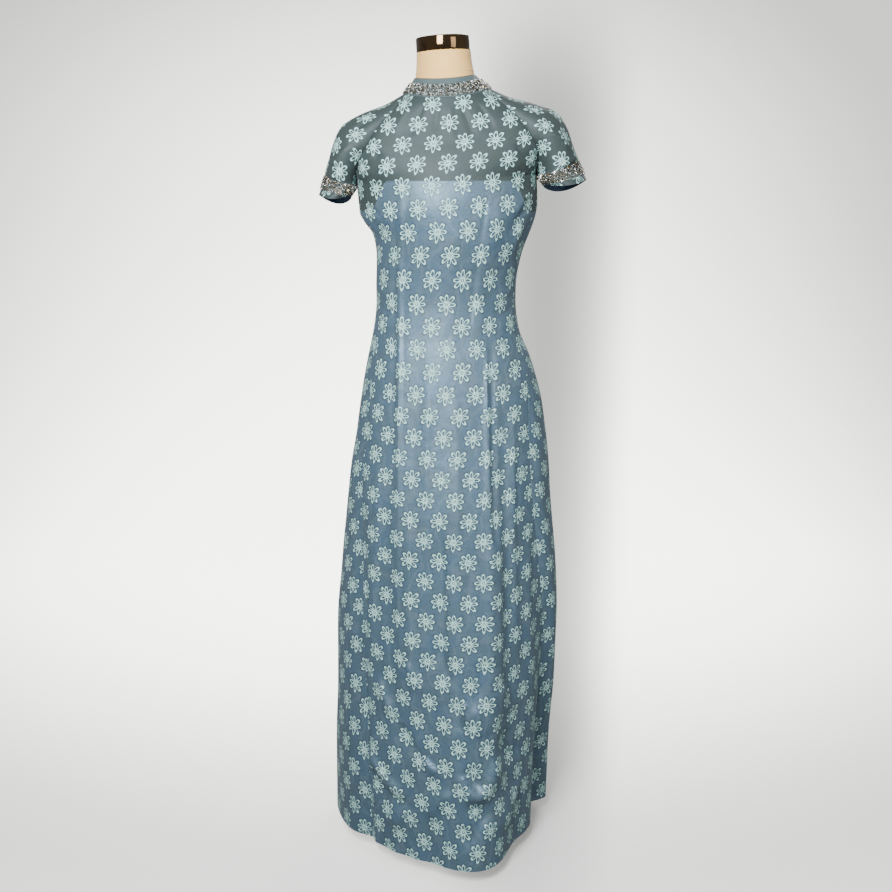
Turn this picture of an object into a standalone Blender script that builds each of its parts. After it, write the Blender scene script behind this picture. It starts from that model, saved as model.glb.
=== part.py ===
"""A long sheath dress with raglan cap sleeves, standing on a limbless dress form.

Metres, +Z up, +X to the viewer's right, the front faces -Y. The origin is the centre of the
underside of the form's base. The dress is cut like the real one: a front in one piece, a back in
two halves with a zip between them, two raglan sleeves and a standing funnel collar. Each piece is
a thin wall, and its neighbour at a seam lies a hair's breadth away.
"""

import math
from types import SimpleNamespace

import bpy
import numpy as np

# Cloth and seams
CLOTH = 0.0015
SEAM_GAP = 0.0003
TRIM_THICK = 0.0015
LINING_THICK = 0.0010

# Heights
HEM = 0.030
UNDERARM = 1.298
SHOULDER = 1.380
ZIP_FOOT = 0.950

# Zip, slider and pull tab
ZIP_HALF = 0.0022
ZIP_OPENING = ZIP_HALF + SEAM_GAP
TRIM_OPENING = 0.0045
SLIDER_HALF = 0.0028
SLIDER_LONG = 0.0060
SLIDER_FLOOR = 0.0016
SLIDER_TALL = 0.0042
LUG_WIDE = 0.0011
SLIDER_LIFT = 0.0005
PULL_THICK = 0.0010
PULL_NECK_HALF = 0.0013
PULL_HALF = 0.0022
PULL_EYE = 0.0008
PULL_NECK = 0.0038
PULL_LONG = 0.0190
PULL_AXIS = 0.0031

# Dress form
BASE_RADIUS = 0.140
BASE_THICK = 0.012
POLE_RADIUS = 0.0125
CAP_RADIUS = 0.0490
CAP_FOOT = 1.5253
CAP_TOP = 1.5510
CAP_ROUND = 0.0015

# How the bodice stands on the form: rolled about the neck, the viewer's right side higher
ROLL = math.radians(3.2)
ROLL_CENTRE = (0.0, 1.500)
ROLL_FROM, ROLL_TO = 1.10, 1.27

# Mesh density
SKIRT_ROWS = 27
FRONT_COLUMNS = 20
BACK_COLUMNS = 10
SLEEVE_COLUMNS = 16
COLLAR_COLUMNS = 32
FORM_SIDES = 24

# The body of the dress from hem to underarm. The seam columns are the angles of the side seams,
# in degrees round from the centre front, and swing forward over the hips. The axis is how far
# behind the form's middle the section is widest.
BODY_COLUMNS = ("height", "half_width", "shift", "front", "back", "axis",
                "seam_left", "seam_right", "valley_left", "valley_right")
BODY = (
    (0.030, 0.2190, -0.0085, 0.218, 0.176, 0.050, 47, 84, 0.014, 0.038),
    (0.184, 0.2185, -0.0065, 0.205, 0.171, 0.034, 48, 82, 0.011, 0.032),
    (0.314, 0.2185, -0.0005, 0.191, 0.164, 0.022, 50, 77, 0.009, 0.027),
    (0.441, 0.2185, 0.0020, 0.179, 0.157, 0.015, 52, 70, 0.007, 0.020),
    (0.566, 0.2105, 0.0055, 0.168, 0.150, 0.006, 55, 62, 0.006, 0.013),
    (0.688, 0.1980, 0.0060, 0.158, 0.144, 0.000, 59, 57, 0.005, 0.008),
    (0.768, 0.1905, 0.0080, 0.148, 0.140, 0.000, 62, 54, 0.004, 0.006),
    (0.827, 0.1820, 0.0100, 0.140, 0.136, 0.000, 62, 54, 0.003, 0.004),
    (0.882, 0.1740, 0.0100, 0.134, 0.133, 0.000, 63, 56, 0.002, 0.002),
    (0.932, 0.1640, 0.0080, 0.127, 0.124, 0.000, 65, 61, 0.000, 0.000),
    (0.979, 0.1515, 0.0050, 0.119, 0.111, 0.000, 72, 66, 0.000, 0.000),
    (1.024, 0.1375, 0.0005, 0.110, 0.098, 0.000, 78, 72, 0.000, 0.000),
    (1.077, 0.1310, 0.0000, 0.106, 0.088, 0.000, 82, 76, 0.000, 0.000),
    (1.115, 0.1315, 0.0000, 0.110, 0.087, 0.000, 84, 78, 0.000, 0.000),
    (1.159, 0.1350, 0.0000, 0.119, 0.091, 0.000, 85, 76, 0.000, 0.000),
    (1.204, 0.1465, 0.0005, 0.127, 0.097, 0.000, 86, 72, 0.000, 0.003),
    (1.250, 0.1650, -0.0090, 0.129, 0.101, 0.000, 87, 78, 0.000, 0.000),
    (1.298, 0.1660, -0.0100, 0.124, 0.102, 0.000, 88, 86, 0.000, 0.000),
)

# The yoke from neck (0) to underarm (6) and the sleeve on to its hem (7), one side of a level
# bodice: the front raglan seam, the back raglan seam, the shoulder line, the sleeve's half depth,
# and the centre front and centre back lines.
YOKE_COLUMNS = ("along", "seam_x", "front_y", "front_z", "back_x", "back_y", "back_z",
                "top_x", "top_z", "half_depth", "centre_front_y", "centre_front_z",
                "centre_back_y", "centre_back_z", "sway")
YOKE = (
    (0, 0.0761, -0.0274, 1.4534, 0.0734, 0.0296, 1.4555, 0.0810, 1.4550, 0.0285,
     -0.080, 1.4415, 0.070, 1.4580, 0.000),
    (1, 0.0950, -0.0500, 1.4305, 0.0930, 0.0490, 1.4360, 0.1100, 1.4410, 0.0500,
     -0.087, 1.4240, 0.078, 1.4380, 0.000),
    (2, 0.1270, -0.0680, 1.3950, 0.1260, 0.0640, 1.4000, 0.1630, 1.4235, 0.0680,
     -0.095, 1.3920, 0.088, 1.4040, 0.000),
    (3, 0.1465, -0.0700, 1.3670, 0.1450, 0.0680, 1.3700, 0.1975, 1.4045, 0.0740,
     -0.104, 1.3660, 0.094, 1.3740, -0.002),
    (4, 0.1590, -0.0590, 1.3460, 0.1570, 0.0600, 1.3480, 0.2155, 1.3735, 0.0735,
     -0.113, 1.3440, 0.097, 1.3500, -0.004),
    (5, 0.1640, -0.0380, 1.3210, 0.1630, 0.0410, 1.3210, 0.2250, 1.3470, 0.0705,
     -0.120, 1.3210, 0.100, 1.3220, -0.008),
    (6, 0.1660, -0.0010, 1.2980, 0.1660, 0.0010, 1.2980, 0.2330, 1.3235, 0.0685,
     -0.124, 1.2980, 0.102, 1.2980, -0.010),
    (7, 0.1780, -0.0002, 1.2780, 0.1780, 0.0002, 1.2780, 0.2475, 1.2840, 0.0670,
     -0.124, 1.2980, 0.102, 1.2980, -0.010),
)
# Rows of the yoke and sleeve, by the first column above
YOKE_ROWS = (0, 0.5, 1, 1.6, 2.2, 2.8, 3.4, 4, 4.5, 5, 5.5, 6)
CUFF_ROWS = (6.15, 6.45, 6.75, 6.93, 7)
TRIM_ROWS, LINING_ROWS = 3, 4
# The sleeve's hem dips before and behind the arm, and lower behind than before
CUFF_DIP = 0.010
CUFF_TIP = 0.088
SHOULDER_Y = 0.002

# The collar from its seam (0) to its top (1), and the angles where the raglan seams meet it
COLLAR_SIZES = ("step", "half_width", "front", "back", "side_z", "front_z", "back_z")
COLLAR = (
    (0.00, 0.0810, 0.0800, 0.0700, 1.4550, 1.4415, 1.4580),
    (0.35, 0.0725, 0.0725, 0.0655, 1.4642, 1.4530, 1.4675),
    (0.66, 0.0640, 0.0660, 0.0610, 1.4728, 1.4640, 1.4758),
    (0.86, 0.0590, 0.0610, 0.0580, 1.4780, 1.4708, 1.4808),
    (1.00, 0.0560, 0.0580, 0.0560, 1.4815, 1.4750, 1.4840),
)
COLLAR_ROWS = (0, 0.05, 0.35, 0.66, 0.86, 1)
TRIM_FIRST, TRIM_LAST = 1, 3
RAGLAN_FRONT = math.radians(70)
RAGLAN_BACK = math.radians(115)
NECK_SEAM_LEAN = math.radians(48)
NECK_SHIFT = -0.003
NECK_FROM, NECK_TO = 1.44, 1.48

# The largest folds. A ridge is above zero and a trough below. Each runs from its top to its foot
# and fades in over the first part of its run.
FOLD_COLUMNS = ("top_x", "foot_x", "top_z", "foot_z", "half_width", "top_rise", "foot_rise")
FRONT_FOLDS = {
    "left_dart": (-0.072, -0.085, 1.27, 0.35, 0.016, 0.0030, 0.0035),
    "right_dart": (0.082, 0.052, 1.27, 1.00, 0.014, 0.0030, 0.0020),
    "right_crease": (0.078, 0.084, 1.02, 0.20, 0.013, 0.0030, 0.0050),
    "right_hollow": (0.108, 0.116, 1.00, 0.20, 0.018, -0.0030, -0.0060),
    "front_swing": (0.035, 0.060, 0.95, 0.02, 0.055, 0.0000, 0.0320),
    "right_return": (0.150, 0.150, 0.80, 0.02, 0.040, 0.0000, -0.0200),
    "left_fall": (-0.120, -0.120, 0.85, 0.02, 0.070, 0.0000, -0.0320),
    "left_ripple": (-0.120, -0.112, 0.60, 0.02, 0.022, 0.0000, 0.0080),
    "middle_ripple": (-0.030, -0.030, 0.50, 0.02, 0.024, 0.0000, -0.0080),
}
BACK_FOLDS = {
    "back_left_drape": (-0.060, -0.095, 0.85, 0.02, 0.036, 0.0000, 0.0170),
    "back_left_hollow": (-0.020, -0.040, 0.80, 0.02, 0.026, 0.0000, -0.0100),
    "back_right_hollow": (0.060, 0.085, 0.85, 0.02, 0.034, 0.0000, -0.0130),
    "back_right_drape": (0.110, 0.140, 0.80, 0.02, 0.034, 0.0000, 0.0120),
}
FOLD_FADE = 0.30
# How folds begin and end: they lie on the front or the back only, and end just above the hem
FOLD_FACING = 0.35
FOLD_TAIL_BELOW, FOLD_TAIL_ABOVE = 0.06, 0.01
# The side seams lie in valleys. Half widths round the body, before and behind the seam.
SIDES = {"left": -1, "right": 1}
VALLEY_BEFORE = {"left": 0.014, "right": 0.075}
VALLEY_BEHIND = {"left": 0.030, "right": 0.016}

# The form's own body, from its flat foot to the top of its neck
FORM_COLUMNS = ("height", "half_width", "front", "back")
FORM = (
    (0.7200, 0.1600, 0.1160, 0.1120),
    (0.7270, 0.1680, 0.1230, 0.1200),
    (0.8000, 0.1700, 0.1270, 0.1250),
    (0.8700, 0.1620, 0.1240, 0.1230),
    (0.9400, 0.1500, 0.1160, 0.1130),
    (1.0100, 0.1310, 0.1030, 0.0920),
    (1.0770, 0.1215, 0.0960, 0.0780),
    (1.1500, 0.1250, 0.1070, 0.0810),
    (1.2040, 0.1350, 0.1170, 0.0870),
    (1.2500, 0.1470, 0.1190, 0.0910),
    (1.2900, 0.1560, 0.1140, 0.0920),
    (1.3300, 0.1650, 0.1030, 0.0880),
    (1.3650, 0.1720, 0.0910, 0.0810),
    (1.3900, 0.1720, 0.0820, 0.0730),
    (1.4070, 0.1640, 0.0740, 0.0650),
    (1.4170, 0.1500, 0.0690, 0.0610),
    (1.4260, 0.1280, 0.0670, 0.0590),
    (1.4340, 0.1010, 0.0650, 0.0580),
    (1.4440, 0.0770, 0.0620, 0.0565),
    (1.4560, 0.0620, 0.0590, 0.0550),
    (1.4700, 0.0558, 0.0564, 0.0545),
    (1.4840, 0.0532, 0.0555, 0.0535),
    (1.5050, 0.0505, 0.0515, 0.0505),
    (1.5250, 0.0486, 0.0486, 0.0486),
)

# Colours as linear red, green and blue, then roughness and metallic
FINISHES = {
    "flowered_cloth": ((0.25, 0.36, 0.47), 0.55, 0.0),
    "blue_lining": ((0.04, 0.13, 0.30), 0.60, 0.0),
    "silver_beading": ((0.62, 0.60, 0.55), 0.30, 0.6),
    "zip_tape": ((0.28, 0.38, 0.46), 0.60, 0.0),
    "zip_metal": ((0.60, 0.60, 0.60), 0.30, 1.0),
    "cream_jersey": ((0.78, 0.74, 0.66), 0.80, 0.0),
    "dark_metal": ((0.18, 0.17, 0.16), 0.20, 1.0),
    "stand_metal": ((0.35, 0.35, 0.36), 0.35, 1.0),
}


def clear_scene():
    for old in list(bpy.data.objects):
        bpy.data.objects.remove(old, do_unlink=True)


def smooth_curve(columns, table):
    """Follows a table's rows smoothly by its first column, and gives the other columns by name."""
    table = np.array(table, float)
    stops, values = table[:, 0], table[:, 1:]
    steps = np.diff(values, axis=0) / np.diff(stops)[:, None]
    before, after = steps[:-1], steps[1:]
    same_way = before * after > 0
    middle = np.where(same_way, 2 * before * after / np.where(same_way, before + after, 1), 0)
    slopes = np.concatenate([steps[:1], middle, steps[-1:]])

    def at(where):
        where = np.clip(np.asarray(where, float), stops[0], stops[-1])
        i = np.clip(np.searchsorted(stops, where) - 1, 0, len(stops) - 2)
        span = stops[i + 1] - stops[i]
        t = ((where - stops[i]) / span)[..., None]
        span = span[..., None]
        rise = t * t * (3 - 2 * t)
        found = (values[i] * (1 - rise) + values[i + 1] * rise
                 + span * slopes[i] * t * (1 - t) ** 2 - span * slopes[i + 1] * t * t * (1 - t))
        return SimpleNamespace(**dict(zip(columns[1:], np.moveaxis(found, -1, 0))))

    return at


body_at = smooth_curve(BODY_COLUMNS, BODY)
yoke_at = smooth_curve(YOKE_COLUMNS, YOKE)
collar_at = smooth_curve(COLLAR_SIZES, COLLAR)
form_at = smooth_curve(FORM_COLUMNS, FORM)
UNDER = body_at(UNDERARM)


def ease(value, start, end):
    t = np.clip((value - start) / (end - start), 0, 1)
    return t * t * (3 - 2 * t)


def unit(vectors):
    return vectors / np.linalg.norm(vectors, axis=-1, keepdims=True)


def stand(points):
    """Rolls the upper body about the neck, as the dress stands in the photograph."""
    turn = ROLL * ease(points[..., 2], ROLL_FROM, ROLL_TO)
    across = points[..., 0] - ROLL_CENTRE[0]
    above = points[..., 2] - ROLL_CENTRE[1]
    out = points.copy()
    out[..., 0] = ROLL_CENTRE[0] + across * np.cos(turn) - above * np.sin(turn)
    out[..., 2] = ROLL_CENTRE[1] + above * np.cos(turn) + across * np.sin(turn)
    return out


def fold_rise(folds, x, z):
    """How far the folds of one side stand out at each point."""
    rise = np.zeros_like(x)
    for sizes in folds.values():
        fold = SimpleNamespace(**dict(zip(FOLD_COLUMNS, sizes)))
        run = np.clip((fold.top_z - z) / (fold.top_z - fold.foot_z), 0, 1)
        middle = fold.top_x + (fold.foot_x - fold.top_x) * run
        height = fold.top_rise + (fold.foot_rise - fold.top_rise) * run
        tail = ease(z, fold.foot_z - FOLD_TAIL_BELOW, fold.foot_z + FOLD_TAIL_ABOVE)
        rise += height * ease(run, 0, FOLD_FADE) * tail * np.exp(-((x - middle) / fold.half_width) ** 2)
    return rise


def drape(points, angle, height):
    """Adds the folds and the valleys along the side seams to points of the body."""
    body = body_at(height)
    seams = {"left": (body.seam_left, body.valley_left), "right": (body.seam_right, body.valley_right)}
    facing = np.cos(angle)
    rise = fold_rise(FRONT_FOLDS, points[..., 0], height) * ease(facing, 0, FOLD_FACING)
    rise += fold_rise(BACK_FOLDS, points[..., 0], height) * ease(-facing, 0, FOLD_FACING)
    for name, side in SIDES.items():
        seam, depth = seams[name]
        behind = (side * angle - np.radians(seam)) * body.half_width
        span = np.where(behind > 0, VALLEY_BEHIND[name], VALLEY_BEFORE[name])
        rise -= depth * np.exp(-(behind / span) ** 2)
    outward = np.stack([np.sin(angle) * body.front, -facing * body.half_width, 0 * angle], axis=-1)
    return points + unit(outward) * rise[..., None]


def arc(edge, centre, angle, edge_angle):
    """Points of a row that curves from its centre line to its edge."""
    across = (np.sin(angle) / np.sin(edge_angle))[..., None]
    rise = ((np.cos(angle) - np.cos(edge_angle)) / (1 - np.cos(edge_angle)))[..., None]
    out = edge + (centre - edge) * rise
    out[..., :1] = centre[..., :1] + (edge[..., :1] - centre[..., :1]) * across
    return out


def collar_ring(step, angle):
    """The collar's outer face. The angle is 0 at the centre front and grows to the viewer's right."""
    ring = collar_at(step)
    facing = np.cos(angle)
    depth = np.where(facing > 0, ring.front, ring.back)
    rise = np.where(facing > 0, ring.front_z, ring.back_z) - ring.side_z
    across = NECK_SHIFT * step + ring.half_width * np.sin(angle)
    return np.stack([across, -depth * facing, ring.side_z + rise * facing ** 2], -1)


def body_section(heights, angle):
    """Points round the body. The angle is 0 at the centre front and 180 degrees at the centre back."""
    body = body_at(heights)
    facing = np.cos(angle)
    depth = np.where(facing > 0, body.front + body.axis, body.back - body.axis)
    across = body.shift + body.half_width * np.sin(angle)
    return drape(np.stack([across, body.axis - depth * facing, heights], axis=-1), angle, heights)


def skirt_heights():
    """The rows from hem to underarm, with a close pair where the zip ends."""
    heights = list(np.linspace(HEM, UNDERARM, SKIRT_ROWS + 1))
    nearest = int(np.argmin(np.abs(np.array(heights) - ZIP_FOOT)))
    heights[nearest] = ZIP_FOOT
    heights.insert(nearest, ZIP_FOOT - 0.001)
    return np.array(heights)


def front_grid(heights, rows, columns):
    """The front, from hem to neck and from the left seam to the right seam."""
    share = np.linspace(-1, 1, columns + 1)[None, :]
    left_side = share < 0
    level = heights[:, None] + 0 * share
    low = body_at(level)
    body = body_section(level, np.radians(np.where(left_side, low.seam_left, low.seam_right)) * share)
    yoke = yoke_at(rows[:, None] + 0 * share)
    edge = np.stack([np.sign(share) * yoke.seam_x + yoke.sway, yoke.front_y, yoke.front_z], axis=-1)
    centre = np.stack([yoke.sway, yoke.centre_front_y, yoke.centre_front_z], axis=-1)
    edge_angle = np.radians(np.where(left_side, UNDER.seam_left, UNDER.seam_right)) + 0 * yoke.sway
    yoke = arc(edge, centre, edge_angle * np.abs(share), edge_angle)
    yoke[-1] = collar_ring(0 * share[0], RAGLAN_FRONT * share[0])
    return stand(np.concatenate([body, yoke]))


def back_points(heights, rows, side, offset, columns):
    """A half back, from hem to neck and from the centre back to its side seam."""
    low = body_at(heights)
    edge_angle = math.pi - np.radians(low.seam_left if side < 0 else low.seam_right)
    inner = np.arcsin(offset[:len(heights)] / low.half_width)
    t = np.linspace(0, 1, columns + 1)
    angle = inner[:, None] + (edge_angle - inner)[:, None] * t
    body = body_section(heights[:, None] + 0 * angle, side * (math.pi - angle))
    high = yoke_at(rows)
    last = math.pi - np.radians(UNDER.seam_left if side < 0 else UNDER.seam_right)
    inner = np.arcsin(offset[len(heights):] * np.sin(last) / high.back_x)
    angle = inner[:, None] + (last - inner)[:, None] * t
    edge = np.stack([side * high.back_x + high.sway, high.back_y, high.back_z], axis=-1)
    centre = np.stack([high.sway, high.centre_back_y, high.centre_back_z], axis=-1)
    yoke = arc(edge[:, None], centre[:, None], angle, last + 0 * angle)
    first = math.asin(offset[-1] / collar_at(0).half_width)
    ring = first + (math.pi - RAGLAN_BACK - first) * t
    yoke[-1] = collar_ring(0 * t, side * (math.pi - ring))
    return stand(np.concatenate([body, yoke]))


def sleeve_grid(rows, side, columns):
    """A sleeve from neck to hem. Its first column is the front seam and its last the back seam."""
    yoke = yoke_at(np.asarray(rows, float)[:, None])
    sway = side * yoke.sway
    front = np.stack([yoke.seam_x + sway, yoke.front_y, yoke.front_z], axis=-1)
    back = np.stack([yoke.back_x + sway, yoke.back_y, yoke.back_z], axis=-1)
    top = np.stack([yoke.top_x, SHOULDER_Y + 0 * yoke.top_x, yoke.top_z], axis=-1)
    middle = (front + back) / 2
    chord = (back - front) / 2
    half_chord = np.linalg.norm(chord, axis=-1, keepdims=True)
    depth = np.maximum(yoke.half_depth[..., None], half_chord)
    reach = math.pi - np.arcsin(half_chord / depth)
    turn = reach * np.linspace(-1, 1, columns + 1)[None, :, None]
    long_axis = (top - middle) / (1 - np.cos(reach))
    points = top - long_axis * (1 - np.cos(turn)) + unit(chord) * depth * np.sin(turn)
    lower = ease(np.asarray(rows, float), YOKE_ROWS[-1] - 1, CUFF_ROWS[-1])[:, None]
    dip = CUFF_TIP * (points[..., 1] - SHOULDER_Y) + CUFF_DIP * np.sin(turn[..., 0]) ** 2
    points[..., 2] -= lower * dip
    ring = RAGLAN_FRONT + (RAGLAN_BACK - RAGLAN_FRONT) * np.linspace(0, 1, columns + 1)
    points[0] = collar_ring(0 * ring, ring)
    points[..., 0] *= side
    return stand(points)


def collar_grid(rows, opening, columns):
    """The collar from its seam up, and round from the back left to the back right."""
    rows = np.asarray(rows, float)
    first = np.arcsin(opening / collar_at(rows).half_width)
    angle = (math.pi - first)[:, None] * np.linspace(-1, 1, columns + 1)
    return stand(collar_ring(rows[:, None] + 0 * angle, angle))


def zip_grid(heights, rows):
    """The zip from its foot to the top of the collar, a strip three points wide."""
    heights = heights[heights >= ZIP_FOOT]
    count = len(heights) + len(rows)
    offset = np.full(count, ZIP_HALF)
    halves = [back_points(heights, rows, side, offset, 1)[:, 0] for side in (-1, 1)]
    steps = np.array(COLLAR_ROWS[1:])
    first = np.arcsin(ZIP_HALF / collar_at(steps).half_width)
    tops = [stand(collar_ring(steps, side * (math.pi - first))) for side in (-1, 1)]
    left, right = [np.concatenate(pair) for pair in zip(halves, tops)]
    return np.stack([left, (left + right) / 2, right], axis=1)


def normals_of(grid, side):
    """Unit normals of a grid of points. The side sets which face is the outer one."""
    return unit(side * np.cross(np.gradient(grid, axis=1), np.gradient(grid, axis=0)))


def share_normals(*edges):
    """Gives pieces that meet at a seam the same normals there, so that their rims run parallel."""
    total = unit(sum(normals[index] for normals, index in edges))
    for normals, index in edges:
        normals[index] = total


def inset(grid, normals, edges):
    """Draws the named edges of a grid in by half a seam gap."""
    out = grid.copy()
    for name in edges:
        edge, inside = {"first_column": (np.s_[:, 0], np.s_[:, 1]),
                        "last_column": (np.s_[:, -1], np.s_[:, -2]),
                        "first_row": (np.s_[0], np.s_[1]),
                        "last_row": (np.s_[-1], np.s_[-2])}[name]
        along = unit(np.gradient(grid[edge], axis=0))
        inward = grid[inside] - grid[edge]
        inward -= along * (inward * along).sum(-1, keepdims=True)
        inward -= normals[edge] * (inward * normals[edge]).sum(-1, keepdims=True)
        out[edge] += unit(inward) * SEAM_GAP / 2
    return out


def finish(name):
    material = bpy.data.materials.get(name)
    if material is None:
        colour, roughness, metallic = FINISHES[name]
        material = bpy.data.materials.new(name)
        material.use_nodes = True
        shader = material.node_tree.nodes["Principled BSDF"]
        shader.inputs["Base Color"].default_value = (*colour, 1)
        shader.inputs["Roughness"].default_value = roughness
        shader.inputs["Metallic"].default_value = metallic
        material.diffuse_color = (*colour, 1)
    return material


def add_object(name, points, faces, material, smooth=True):
    mesh = bpy.data.meshes.new(name)
    mesh.from_pydata([tuple(p) for p in points], [], faces)
    mesh.materials.append(finish(material))
    mesh.validate()
    if smooth:
        mesh.shade_smooth()
        mesh.set_sharp_from_angle(angle=math.radians(40))
    piece = bpy.data.objects.new(name, mesh)
    bpy.context.scene.collection.objects.link(piece)
    return piece


def wall(name, grid, normals, side, material, thick=CLOTH, moved_out=0.0):
    """A closed wall: the grid is its outer face, moved out if asked, and its inner face lies behind."""
    rows, columns = grid.shape[:2]
    outer = grid + normals * moved_out
    inner = outer - normals * thick
    count = rows * columns

    def index(row, column):
        return row * columns + column

    faces = []
    for r in range(rows - 1):
        for c in range(columns - 1):
            first, second = index(r, c), index(r, c + 1)
            third, fourth = index(r + 1, c + 1), index(r + 1, c)
            for face in ((first, second, third), (first, third, fourth)):
                faces.append(face)
                faces.append(tuple(count + i for i in reversed(face)))
    rim = [index(0, c) for c in range(columns)]
    rim += [index(r, columns - 1) for r in range(1, rows)]
    rim += [index(rows - 1, c) for c in range(columns - 2, -1, -1)]
    rim += [index(r, 0) for r in range(rows - 2, 0, -1)]
    # Both pieces at a seam split their rims along the same diagonals, so that they never cross
    height = outer.reshape(-1, 3)[:, 2]
    for a, b in zip(rim, rim[1:] + rim[:1]):
        inner_a, inner_b = count + a, count + b
        if height[a] > height[b]:
            faces += [(b, a, inner_b), (a, inner_a, inner_b)]
        else:
            faces += [(b, a, inner_a), (b, inner_a, inner_b)]
    if side < 0:
        faces = [tuple(reversed(face)) for face in faces]
    return add_object(name, np.concatenate([outer.reshape(-1, 3), inner.reshape(-1, 3)]),
                      faces, material)


def stack(name, rings, material):
    """A closed solid through level rings, with flat ends."""
    count = rings.shape[1]
    faces = [tuple(range(count - 1, -1, -1))]
    for r in range(len(rings) - 1):
        for c in range(count):
            d = (c + 1) % count
            faces.append((r * count + c, r * count + d, (r + 1) * count + d, (r + 1) * count + c))
    faces.append(tuple((len(rings) - 1) * count + c for c in range(count)))
    return add_object(name, rings.reshape(-1, 3), faces, material)


def turned(name, profile, material, sides=32, upper=False):
    """A closed solid turned about the Z axis from (radius, height) points."""
    angle = np.arange(sides) * math.tau / sides
    rings = np.array([[(r * math.cos(a), r * math.sin(a), z) for a in angle] for r, z in profile])
    if upper:
        rings[..., 0] += NECK_SHIFT
        rings = stand(rings)
    return stack(name, rings, material)


def extruded(name, outline, start, end, place, material):
    """A closed solid from a flat outline, run from start to end and set in place."""
    low = np.array([place(x, y, start) for x, y in outline])
    high = np.array([place(x, y, end) for x, y in outline])
    count = len(outline)
    faces = [tuple(range(count - 1, -1, -1)), tuple(range(count, 2 * count))]
    for a in range(count):
        b = (a + 1) % count
        faces.append((a, b, count + b, count + a))
    return add_object(name, np.concatenate([low, high]), faces, material, smooth=False)


def make_dress():
    heights = skirt_heights()
    rows = np.array(YOKE_ROWS[::-1][1:], float)
    sleeve_rows = np.array(YOKE_ROWS + CUFF_ROWS, float)
    seam = len(heights) - 1
    count = len(heights) + len(rows)
    offset = np.where(np.arange(count) < np.searchsorted(heights, ZIP_FOOT), SEAM_GAP / 2, ZIP_OPENING)
    grids = {"front_panel": front_grid(heights, rows, FRONT_COLUMNS),
             "collar": collar_grid(COLLAR_ROWS, ZIP_OPENING, COLLAR_COLUMNS)}
    faces_out = {"front_panel": 1, "collar": 1}
    for side, name in ((-1, "left"), (1, "right")):
        grids["back_%s_panel" % name] = back_points(heights, rows, side, offset, BACK_COLUMNS)
        faces_out["back_%s_panel" % name] = -side
        grids["sleeve_%s" % name] = sleeve_grid(sleeve_rows, side, SLEEVE_COLUMNS)
        faces_out["sleeve_%s" % name] = -side
    normals = {name: normals_of(grid, faces_out[name]) for name, grid in grids.items()}
    front = normals["front_panel"]
    under = len(YOKE_ROWS) - 1
    for side, name, column in ((-1, "left", 0), (1, "right", -1)):
        back, sleeve = normals["back_%s_panel" % name], normals["sleeve_%s" % name]
        share_normals((front, np.s_[:seam + 1, column]), (back, np.s_[:seam + 1, -1]))
        share_normals((front, np.s_[seam + 1:, column]), (sleeve, np.s_[under - 1::-1, 0]))
        share_normals((back, np.s_[seam + 1:, -1]), (sleeve, np.s_[under - 1::-1, -1]))
        share_normals((sleeve, np.s_[under + 1:, 0]), (sleeve, np.s_[under + 1:, -1]))
        # The four pieces that meet under the arm all end square to the underarm's level
        sleeve[under, [0, -1]] = (0, 0, -1)
    share_normals((normals["back_left_panel"], np.s_[:, 0]), (normals["back_right_panel"], np.s_[:, 0]))
    neck = {"front_panel": RAGLAN_FRONT * np.linspace(-1, 1, FRONT_COLUMNS + 1)}
    first = math.asin(ZIP_OPENING / collar_at(0).half_width)
    for side, name in ((-1, "left"), (1, "right")):
        ring = first + (math.pi - RAGLAN_BACK - first) * np.linspace(0, 1, BACK_COLUMNS + 1)
        neck["back_%s_panel" % name] = side * (math.pi - ring)
        ring = RAGLAN_FRONT + (RAGLAN_BACK - RAGLAN_FRONT) * np.linspace(0, 1, SLEEVE_COLUMNS + 1)
        neck["sleeve_%s" % name] = side * ring
    neck["collar"] = (math.pi - first) * np.linspace(-1, 1, COLLAR_COLUMNS + 1)
    for name, angle in neck.items():
        lean = math.cos(NECK_SEAM_LEAN)
        row = -1 if name.endswith("panel") else 0
        normals[name][row] = np.stack([np.sin(angle) * lean, -np.cos(angle) * lean,
                                       math.sin(NECK_SEAM_LEAN) + 0 * angle], axis=-1)
    seams = {"front_panel": ("first_column", "last_column", "last_row"),
             "back_left_panel": ("last_column", "last_row"),
             "back_right_panel": ("last_column", "last_row"),
             "sleeve_left": ("first_column", "last_column", "first_row"),
             "sleeve_right": ("first_column", "last_column", "first_row"),
             "collar": ("first_row",)}
    for name, grid in grids.items():
        drawn_in = inset(grid, normals[name], seams[name])
        wall(name, drawn_in, normals[name], faces_out[name], "flowered_cloth")
        grids[name] = drawn_in
    for side, name in ((-1, "left"), (1, "right")):
        grid, normal = grids["sleeve_" + name], normals["sleeve_" + name]
        first_row = len(YOKE_ROWS)
        band = np.s_[first_row:first_row + TRIM_ROWS, 1:-1]
        wall("sleeve_bead_band_" + name, grid[band], normal[band], -side, "silver_beading",
             thick=TRIM_THICK, moved_out=SEAM_GAP + TRIM_THICK)
        inside = np.s_[first_row:first_row + LINING_ROWS]
        wall("sleeve_lining_" + name, grid[inside], normal[inside], -side, "blue_lining",
             thick=LINING_THICK, moved_out=-CLOTH - SEAM_GAP)
    trim_rows = COLLAR_ROWS[TRIM_FIRST:TRIM_LAST + 1]
    trim = collar_grid(trim_rows, TRIM_OPENING, COLLAR_COLUMNS)
    wall("collar_bead_band", trim, normals_of(trim, 1), 1, "silver_beading",
         thick=TRIM_THICK, moved_out=SEAM_GAP + TRIM_THICK)
    strip = zip_grid(heights, rows)
    wall("zip", strip, normals_of(strip, -1), -1, "zip_tape")
    return strip


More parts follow.
